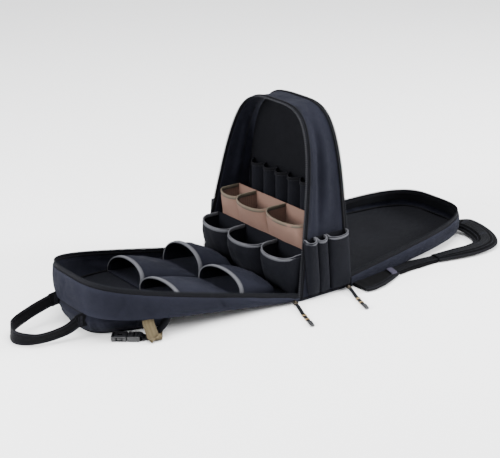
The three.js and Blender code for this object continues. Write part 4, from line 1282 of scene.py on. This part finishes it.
for number, offset in ((1, 0.38), (2, -0.38)):
    for layer, sign in ((1, 1), (2, -1)):
        line = path + side * handle_wide * offset + face * sign * handle_thick / 2
        stitch_row(f"handle_stitches_{number}_{layer}", line, side * sign, band_pitch, "webbing")
for end_name, piece in (("near", slice(0, 22)), ("far", slice(-22, None))):
    cover = sweep(f"handle_root_{end_name}", path[piece], side[piece], handle_wide + 0.003,
                  handle_thick + 0.0022, corners=20, squareness=7)
    finish_piece(cover, webbing, "webbing")
    for number in range(4):
        at = path[piece][4 + number * 5]
        across_line = np.stack([at + side[piece][4] * handle_wide * (k - 0.5) * 0.8
                                for k in np.linspace(0, 1, 12)])
        for layer, sign in ((1, 1), (2, -1)):
            lifted = across_line + face[piece][4] * sign * (handle_thick / 2 + 0.0011)
            stitch_row(f"handle_tack_{end_name}_{number}_{layer}", lifted,
                       all_along(lifted, *ahead[piece][4] * sign), 0.0022, "webbing")

# %% Khaki strap
strap_wide, band_thick = 0.025, 0.002
strap_run = front_tray["length"] * 0.77
strap_top = float(front_tray["floor"](strap_run - strap_wide / 2)) - seam
strap_wall = float(front_tray["reach"](strap_run))
# across, along, rise, bearing
khaki_table = [(-0.12, 0.1, 1, 85), (-0.04, 0.1, 0.78, 85), (0.35, 0.12, 0.42, 85),
               (0.75, 0.16, 0.16, 82), (0.94, 0.1, 0.15, 82), (0.8, 0.02, 0.01, 74),
               (0.3, -0.32, 0, 62), (-0.6, -0.92, 0, 58)]
khaki_rows = [(strap_wall + strap_wide * across,
               float(front_tray["y"](strap_run + strap_wide * along)),
               band_thick + (strap_top - band_thick) * rise, bearing, 0, strap_wide, band_thick)
              for across, along, rise, bearing in khaki_table]
path, side, wide, thick = strap_route(khaki_rows, 90)
khaki = sweep("khaki_webbing_strap", path, side, wide, thick, corners=20, squareness=7)
finish_piece(khaki, khaki_webbing, "khaki_webbing", "khaki_strap")
fold = sweep("khaki_strap_fold", path[-16:] + (0, 0, 0.0016), side[-16:], strap_wide * 0.98,
             0.0018, corners=20, squareness=7)
finish_piece(fold, khaki_webbing, "khaki_webbing")
face, ahead = face_of(path, side)
for number, offset in ((1, 0.42), (2, -0.42)):
    for layer, sign in ((1, 1), (2, -1)):
        line = path[:-16] + (side * strap_wide * offset + face * sign * band_thick / 2)[:-16]
        stitch_row(f"khaki_stitches_{number}_{layer}", line, side[:-16] * sign, band_pitch,
                   "khaki_webbing", khaki_binding)
print("khaki strap ready")

# %% [markdown]
# ## Side release buckle
# The buckle is two mouldings: a hollow socket with a window and side slots, and a plug whose two
# sprung arms show through them. Cubes are bevelled to the outer shapes and the openings are cut
# with Boolean modifiers, which is how such a part would be drawn by hand.

# %% Buckle helpers
buckle_wide, buckle_thick = 0.030, 0.010
socket_long, plug_long = 0.031, 0.025
buckle_run = front_tray["length"] * 0.86
buckle_x = float(front_tray["reach"](buckle_run)) - buckle_wide / 4
buckle_y = float(front_tray["y"](buckle_run))
buckle_bearing = math.radians(51)


def block(name, low, high, bevel=0.0, segments=3):
    """A bevelled box between two corners."""
    bpy.ops.object.select_all(action="DESELECT")
    bpy.ops.mesh.primitive_cube_add(size=1)
    obj = bpy.context.object
    obj.name = obj.data.name = name
    low, high = np.array(low), np.array(high)
    move_points(obj, (low + high) / 2 + points_of(obj) * (high - low))
    if bevel:
        finish_modifier(obj, "BEVEL", width=bevel, segments=segments, limit_method="NONE")
    return obj


def cut(obj, *tools):
    for tool in tools:
        finish_modifier(obj, "BOOLEAN", operation="DIFFERENCE", object=tool, solver="EXACT")
        bpy.data.objects.remove(tool)


def join(name, *parts):
    bpy.ops.object.select_all(action="DESELECT")
    for part in parts:
        part.select_set(True)
    bpy.context.view_layer.objects.active = parts[0]
    bpy.ops.object.join()
    parts[0].name = parts[0].data.name = name
    return parts[0]


def put(obj, x, y, z, angle):
    """Turns a piece's points about Z and moves them to their place."""
    points = points_of(obj)
    cos, sin = math.cos(angle), math.sin(angle)
    move_points(obj, np.stack([x + points[:, 0] * cos - points[:, 1] * sin,
                               y + points[:, 0] * sin + points[:, 1] * cos,
                               z + points[:, 2]], 1))


# %% Buckle
half = buckle_wide / 2
edge_room = 0.0022
through = (-0.002, buckle_thick + 0.002)
side_slot = (0.0015, buckle_thick - 0.0015)


def openings(table):
    """Rows hold a name, from and to along, across and up, the bevel and its segments."""
    return [block(name, (x0, y0, z0), (x1, y1, z1), bevel, segments)
            for name, (x0, x1), (y0, y1), (z0, z1), bevel, segments in table]


socket = block("socket", (0.0003, -half, 0), (socket_long, half, buckle_thick), 0.0028, 4)
cut(socket, *openings([
    ("mouth", (-0.002, 0.024), (-half * 0.82, half * 0.82), (edge_room, buckle_thick - edge_room),
     0.0008, 2),
    ("window", (0.0095, 0.0205), (-0.0045, 0.0045), through, 0.0012, 3),
    ("slot_a", (0.008, 0.0215), (half * 0.62, half * 1.4), side_slot, 0.001, 2),
    ("slot_b", (0.008, 0.0215), (-half * 1.4, -half * 0.62), side_slot, 0.001, 2),
    ("bar_gap", (0.0252, 0.0282), (-half * 0.72, half * 0.72), through, 0.0008, 2),
]))
plug_body = block("plug", (-plug_long, -half, 0), (-0.0003, half, buckle_thick), 0.0028, 4)
cut(plug_body, *openings([
    ("strap_gap_a", (-0.0215, -0.0175), (-half * 0.75, half * 0.75), through, 0.0008, 2),
    ("strap_gap_b", (-0.0145, -0.0110), (-half * 0.75, half * 0.75), through, 0.0008, 2),
    ("dish", (-0.009, -0.003), (-half * 0.6, half * 0.6),
     (buckle_thick - 0.0012, buckle_thick + 0.002), 0.0006, 2),
]))
arms = []
for number, sign in ((1, 1), (2, -1)):
    arm_path = catmull([(-0.001, sign * half * 0.6, buckle_thick / 2),
                        (0.008, sign * half * 0.68, buckle_thick / 2),
                        (0.016, sign * half * 0.86, buckle_thick / 2),
                        (0.0205, sign * half * 0.70, buckle_thick / 2)], np.linspace(0, 1, 25))
    arms.append(sweep(f"arm_{number}", arm_path, all_along(arm_path, 0, 1, 0),
                      np.interp(np.linspace(0, 1, 25), (0, 0.6, 1), (0.0028, 0.0036, 0.0030)),
                      0.0048, corners=12, squareness=6))
guide = block("guide", (-0.001, -0.0018, 0.0028), (0.018, 0.0018, buckle_thick - 0.0028), 0.0006, 2)
plug = join("buckle_plug_moulding", plug_body, *arms, guide)
socket.name = socket.data.name = "buckle_socket_moulding"
for moulding, node in ((socket, "buckle_socket"), (plug, "buckle_plug")):
    put(moulding, buckle_x, buckle_y, seam, buckle_bearing + math.pi)
    finish_piece(moulding, black_plastic, "plastic", node)
print("buckle", len(socket.data.polygons) + len(plug.data.polygons), "faces")

# %% Buckle strap
turn_x, turn_y = math.cos(buckle_bearing), math.sin(buckle_bearing)
strap_from = np.array((buckle_x + (plug_long + band_thick) * turn_x,
                       buckle_y + (plug_long + band_thick) * turn_y, seam + buckle_thick / 2))
root_run = front_tray["length"] * 0.685
strap_to = np.array((float(front_tray["reach"](root_run)) - wall_thick,
                     float(front_tray["y"](root_run)),
                     float(front_tray["floor"](root_run - band_thick)) - band_thick))
way = float(np.linalg.norm(strap_to - strap_from))
# share, bow, rise, bearing
buckle_strap_table = [(0, 0, 0, -39), (0.25, 0.11, 0, -25), (0.5, 0.04, 0.06, -12),
                      (0.78, 0.03, 0.5, -4), (1, 0, 1, 0)]
buckle_strap_rows = []
for share, bow, rise, bearing in buckle_strap_table:
    at = strap_from + (strap_to - strap_from) * (share, share, rise)
    buckle_strap_rows.append((at[0] + way * bow, at[1], at[2], bearing, 0, strap_wide * 0.88,
                              band_thick))
path, side, wide, thick = strap_route(buckle_strap_rows, 60)
buckle_band = sweep("buckle_webbing_strap", path, side, wide, thick, corners=20, squareness=7)
finish_piece(buckle_band, webbing, "webbing", "buckle_strap")
loop = catmull([(-0.030, 0, 0.0050), (-0.0275, 0, 0.0092), (-0.0195, 0, 0.0092),
                (-0.0162, 0, 0.0066), (-0.0160, 0, 0.0050), (-0.0162, 0, 0.0034),
                (-0.0195, 0, 0.0008), (-0.0275, 0, 0.0008), (-0.030, 0, 0.0050)],
               np.linspace(0, 1, 49))
plug_loop = sweep("plug_webbing_loop", loop, all_along(loop, 0, 1, 0),
                  strap_wide * 0.82, 0.0016, corners=16, squareness=7, closed=True)
put(plug_loop, buckle_x, buckle_y, seam, buckle_bearing + math.pi)
finish_piece(plug_loop, webbing, "webbing")
print("buckle strap ready")

# %% [markdown]
# ## Shoulder straps
# A shoulder strap is foam between two layers, bound along its edges, so its middle swells and its
# edges stay thin. We sweep the strap's route, remesh it evenly and let Blender's cloth blow it up a
# little, with a limit on how far each point may go. The left strap is the mirror image. The
# binding, the seams, the webbing and the thin pad under its lower part come after, because the
# remesh would rub them out.

# %% Shoulder straps: the padded body
strap_body_wide, strap_body_thick = 0.050, 0.012
strap_foot, tab_end, strap_web = 0.6, 0.3, 0.025
# across, run, lift, bearing, tilt, width, thickness, as the CAD's own shares
shoulder_table = [(0.16, 0.95, 1, 95, 0, 0.8, 0.5), (0.3, 0.995, 0.85, 98, 3, 0.85, 0.7),
                  (0.46, 1.035, 1.2, 98, 12, 0.9, 1), (0.78, 1.03, 0.5, 80, 8, 0.95, 1.05),
                  (1.03, 0.965, 0.15, 35, 3, 0.96, 1), (1.09, 0.86, 0, -5, 0, 0.9, 1),
                  (1.06, 0.74, 0, -15, 0, 0.85, 0.95), (1.005, strap_foot, 0, -12, 0, 0.62, 0.75)]
shoulder_rows = []
for across, run_share, lift, bearing, tilt, wide_share, thick_share in shoulder_table:
    run = back_tray["length"] * run_share
    flat = strap_body_thick * thick_share / 2 + seam
    hung = max(float(back_tray["floor"](min(run, back_tray["length"]))) - flat - seam, flat)
    shoulder_rows.append((half_width * across, float(back_tray["y"](run)),
                          flat + (hung - flat) * lift, bearing, tilt,
                          strap_body_wide * wide_share, strap_body_thick * thick_share))


def swell(obj, voxel, pressure, cap):
    """Remeshes a pad and blows it up with cloth, no point further than cap."""
    only(obj)
    obj.data.remesh_voxel_size = voxel
    bpy.ops.object.voxel_remesh()
    before = points_of(obj)
    cloth = obj.modifiers.new("cloth", "CLOTH")
    cloth.settings.use_pressure = True
    cloth.settings.uniform_pressure_force = pressure
    cloth.settings.effector_weights.gravity = 0
    cloth.settings.shrink_min = -0.02
    for number in range(1, 21):
        bpy.context.scene.frame_set(number)
    shape = obj.evaluated_get(bpy.context.evaluated_depsgraph_get())
    after = np.empty(len(shape.data.vertices) * 3)
    shape.data.vertices.foreach_get("co", after)
    moved = after.reshape(-1, 3) - before
    far = np.linalg.norm(moved, axis=1)
    moved *= (np.minimum(far, cap) / np.maximum(far, 1e-9))[:, None]
    obj.modifiers.remove(cloth)
    bpy.context.scene.frame_set(1)
    points = before + moved
    points[:, 2] = np.maximum(points[:, 2], 0.0003)
    move_points(obj, points)
    finish_modifier(obj, "SUBSURF", levels=1, render_levels=1)
    print("swelled", obj.name, "by up to", round(float(np.minimum(far, cap).max()) * 1000, 1), "mm")


def mirrored(obj, name):
    """A copy with its own mesh on the bag's other side, with its faces turned right again."""
    only(obj)
    bpy.ops.object.duplicate()
    copy = bpy.context.object
    copy.name = copy.data.name = name
    move_points(copy, points_of(copy) * (-1, 1, 1))
    in_edit(copy, bpy.ops.mesh.flip_normals)
    return copy


path, side, wide, thick = strap_route(shoulder_rows, 110)
strap_right = sweep("shoulder_strap_right_pad", path, side, wide * 0.97, thick * 0.82, corners=28,
                    squareness=3)
swell(strap_right, 0.0045, 4.0, 0.0016)
in_edit(strap_right, lambda: bpy.ops.uv.cube_project(cube_size=1.0))
strap_left = mirrored(strap_right, "shoulder_strap_left_pad")
for strap, node in ((strap_right, "shoulder_strap_right"), (strap_left, "shoulder_strap_left")):
    finish_piece(strap, air_mesh, "padding", node)
print("shoulder straps", len(strap_right.data.polygons), "faces each")

# %% Shoulder straps: edge binding, seams and webbing
face, ahead = face_of(path, side)
face[face[:, 2] < 0] *= -1


def both_sides(piece, material, slot, *node_stem):
    """Finishes a right-hand piece and adds its mirror image on the left."""
    other = mirrored(piece, piece.name.replace("right", "left"))
    finish_piece(piece, material, slot, *[f"{stem}_right" for stem in node_stem])
    finish_piece(other, material, slot, *[f"{stem}_left" for stem in node_stem])
    return piece, other


for number, sign in ((1, 1), (2, -1)):
    edge = path + side * (sign * wide / 2 * 0.955)[:, None]
    edge[:, 2] = np.maximum(edge[:, 2], 0.0032)
    both_sides(sweep(f"strap_right_binding_{number}", edge, side, 0.0085, 0.0046, corners=12,
                     squareness=3), dark_binding, "padding")
    line = path + side * (sign * wide / 2 * 0.70)[:, None] + face * (thick * 0.49)[:, None]
    both_sides(copy_along(f"strap_right_stitches_{number}", stitch_block, line, side, band_pitch),
               thread, "padding")
top = path + face * (thick * 0.5 + 0.0008)[:, None]
web_piece = slice(30, 111)
both_sides(sweep("strap_right_top_webbing", top[web_piece], side[web_piece], strap_web * 0.8,
                 0.0016, corners=20, squareness=7), webbing, "webbing")
for number, at in enumerate((32, 52, 74, 96)):
    for step in (-1, 0, 1):
        spot = top[at + step] + face[at] * 0.0009
        line = np.stack([spot + side[at] * strap_web * 0.8 * (k - 0.5) * 0.85
                         for k in np.linspace(0, 1, 10)])
        both_sides(copy_along(f"strap_right_tack_{number}_{step + 1}", stitch_block, line,
                              all_along(line, *ahead[at]), 0.0020), thread, "webbing")
web_table = [(1, strap_foot, -2, -12), (0.975, 0.48, 0, -6), (0.975, 0.4, 0, 4), (1, tab_end, 3, 0)]
web_rows = [(half_width * across,
             float(back_tray["y"](back_tray["length"] * run_share + 2 * seam * nudge)),
             0.001 + seam, bearing, 0, strap_web, band_thick)
            for across, run_share, nudge, bearing in web_table]
path, side, wide, thick = strap_route(web_rows, 60)
pad_wide = np.interp(np.linspace(0, 1, len(path)), (0, 0.4, 1), (0.033, 0.043, 0.038))
lower_pads = both_sides(sweep("strap_right_lower_pad", path + (0, 0, 0.0012), side, pad_wide,
                              0.0042, corners=20, squareness=4), air_mesh, "padding")
path = path + (0, 0, 0.0045)
lower_bands = both_sides(sweep("strap_right_lower_webbing", path, side, wide, thick, corners=20,
                               squareness=7), webbing, "webbing", "strap_webbing")
print("strap trim ready")

# %% [markdown]
# ## Strap tabs
# A padded tab is sewn into each back corner of the base, and holds the webbing. It is a flat wedge
# of foam in mesh cloth, thicker at the seam than at its bound outer edge.

# %% Strap tabs
tab_table = np.array([(0.015, 1.26), (0.07, 1.28), (0.14, 1.25), (0.22, 1.18), (tab_end, 1.09)])


def tab_point(u, v):
    share = np.interp(v, np.linspace(0, 1, 5), tab_table[:, 0])
    run = back_tray["length"] * share
    inner = arch_reach(share) + 2 * seam
    outer = half_width * np.interp(share, tab_table[:, 0], tab_table[:, 1])
    angle = 2 * np.pi * u
    crosswise = np.sign(np.cos(angle)) * np.abs(np.cos(angle)) ** 0.45
    upward = np.sign(np.sin(angle)) * np.abs(np.sin(angle)) ** 0.8
    puff = 1 - 0.25 * (1 + crosswise) / 2 + 0.10 * ripple(v * 0.12, u * 0.05, 0.03, 5)
    middle = 0.0044
    return ((inner + outer) / 2 + crosswise * (outer - inner) / 2, back_tray["y"](run),
            middle + upward * 0.0039 * puff)


tab = sheet("strap_tab_right", 40, 40, tab_point, (0.12, 0.12))
close_ends(tab)
in_edit(tab, lambda: bpy.ops.uv.cube_project(cube_size=1.0))
for piece in both_sides(tab, air_mesh, "padding", "strap_wing"):
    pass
tab_v = np.linspace(0.0, 1, 60)
edge = np.stack(tab_point(np.zeros_like(tab_v), tab_v), 1)
edge[:, 2] = 0.0046
both_sides(sweep("strap_tab_binding_right", edge, all_along(edge, 1, 0, 0), 0.0080,
                 0.0050, corners=12, squareness=3), dark_binding, "padding")
line = edge + (-0.0062, 0, 0.0033)
both_sides(copy_along("strap_tab_stitches_right", stitch_block, line,
                      all_along(line, 1, 0, 0), band_pitch), thread, "padding")
fold_share = 0.275
fold_in = float(arch_reach(fold_share)) + 0.002
fold_out = half_width * float(np.interp(fold_share, tab_table[:, 0], tab_table[:, 1])) - 0.004
fold_y = float(back_tray["y"](back_tray["length"] * fold_share))
fold_path = catmull([(fold_in, fold_y + 0.004, 0.0094), ((fold_in + fold_out) / 2, fold_y, 0.0100),
                     (fold_out, fold_y - 0.003, 0.0088),
                     (fold_out + 0.003, fold_y - 0.003, 0.0040)],
                    np.linspace(0, 1, 31))
both_sides(sweep("strap_tab_fold_right", fold_path, all_along(fold_path, 0, 1, 0),
                 0.0150, 0.0016, corners=20, squareness=6), fold_cloth, "webbing")
print("strap tabs ready")

# %% [markdown]
# ## Zip sliders and pulls
# A slider is two plates joined by a wedge, with a bail on top that the pull hangs from. The pull
# is a short piece of woven tape with two bronze clamps and a moulded grip.

# %% Sliders, pulls and tips
slider_long, slider_wide, slider_thick = 0.014, 0.010, 0.007
pull_long, pull_wide, pull_thick = 0.084, 0.009, 0.0025
tip_long = 0.020
pull_angle = math.radians(-20)
pull_seat = half_width + seam + slider_wide / 2 * math.sin(-pull_angle)


def add_pull(place_name, x, y, z):
    parts = []
    for number, (low, high) in enumerate(((0.0, 0.0014), (0.0040, 0.0054))):
        plate = block(f"plate_{number}", (0.0002, -slider_wide * 0.42, low),
                      (slider_long - 0.0002, slider_wide * 0.42, high), 0.0006, 2)
        points = points_of(plate)
        along = points[:, 0] / slider_long
        points[:, 1] *= 1.12 - 0.55 * (along - 0.45) ** 2 * 2
        move_points(plate, points)
        parts.append(plate)
    parts.append(block("wedge", (0.0092, -0.0014, 0.0008), (0.0128, 0.0014, 0.0046), 0.0005, 2))
    bail = catmull([(0.0020, 0, 0.0050), (0.0030, 0, 0.0064), (0.0070, 0, 0.0068),
                    (0.0110, 0, 0.0064), (0.0120, 0, 0.0050)], np.linspace(0, 1, 17))
    parts.append(sweep("bail", bail, all_along(bail, 0, 1, 0), 0.0030, 0.0010,
                       corners=12, squareness=5))
    ring = catmull([(0.0085, 0.0, 0.0056), (0.0110, 0.0034, 0.0056), (0.0150, 0.0038, 0.0050),
                    (0.0172, 0.0, 0.0046), (0.0150, -0.0038, 0.0050), (0.0110, -0.0034, 0.0056),
                    (0.0085, 0.0, 0.0056)], np.linspace(0, 1, 37))
    parts.append(sweep("ring", ring, all_along(ring, 0, 0, 1), 0.0013, 0.0013,
                       corners=8, squareness=2, closed=True))
    slider = join(f"zip_slider_{place_name}_metal", *parts)
    put(slider, x, y, z, pull_angle)
    finish_piece(slider, slider_metal, "metal", f"zip_slider_{place_name}")

    start = slider_long + seam
    low = pull_thick / 2 + seam - z
    rows = [(start + pull_long * out_share, 0, low + (slider_thick / 2 - low) * rise, 90, 0,
             pull_wide, pull_thick)
            for out_share, rise in ((0, 1), (0.2, 0.75), (0.5, 0.12), (0.8, 0), (1, 0))]
    path, side, wide, thick = strap_route(rows, 50)
    tape = sweep(f"zip_pull_{place_name}_tape", path, side, wide * 0.86, thick, corners=20,
                 squareness=6)
    put(tape, x, y, z, pull_angle)
    finish_piece(tape, webbing, "webbing", f"zip_pull_{place_name}")
    for number, at in ((1, 30), (2, 40)):
        held = slice(at - 2, at + 2)
        clamp = sweep(f"zip_pull_{place_name}_clamp_{number}", path[held], side[held],
                      pull_wide * 1.04, pull_thick + 0.0022, corners=20, squareness=5)
        finish_modifier(clamp, "BEVEL", width=0.0004, segments=2)
        put(clamp, x, y, z, pull_angle)
        finish_piece(clamp, bronze, "metal")
    steps = np.linspace(0, 1, 41)
    spine = np.stack([start + pull_long + seam + steps * tip_long, 0 * steps,
                      0 * steps + pull_wide * 0.28 - z], 1)
    ridges = 1 - 0.10 * (np.cos(steps * 2 * np.pi * 7) > 0.2) * (steps > 0.25) * (steps < 0.85)
    round_end = np.sqrt(np.clip(1 - np.clip((steps - 0.88) / 0.12, 0, 1) ** 2, 0.05, 1))
    width = pull_wide * (1.08 - 0.16 * steps) * ridges * round_end
    grip = sweep(f"pull_tip_{place_name}_grip", spine, all_along(spine, 0, 1, 0),
                 width, width * 0.5, corners=20, squareness=3.2)
    put(grip, x, y, z, pull_angle)
    finish_piece(grip, black_plastic, "plastic", f"pull_tip_{place_name}")


add_pull("front", pull_seat - 0.35 * tray_bulge, -half_depth - slider_long * 0.9,
         slider_thick * 0.35)
add_pull("back", pull_seat, half_depth - slider_long * 0.7, slider_thick * 0.35)
print("zip pulls ready")
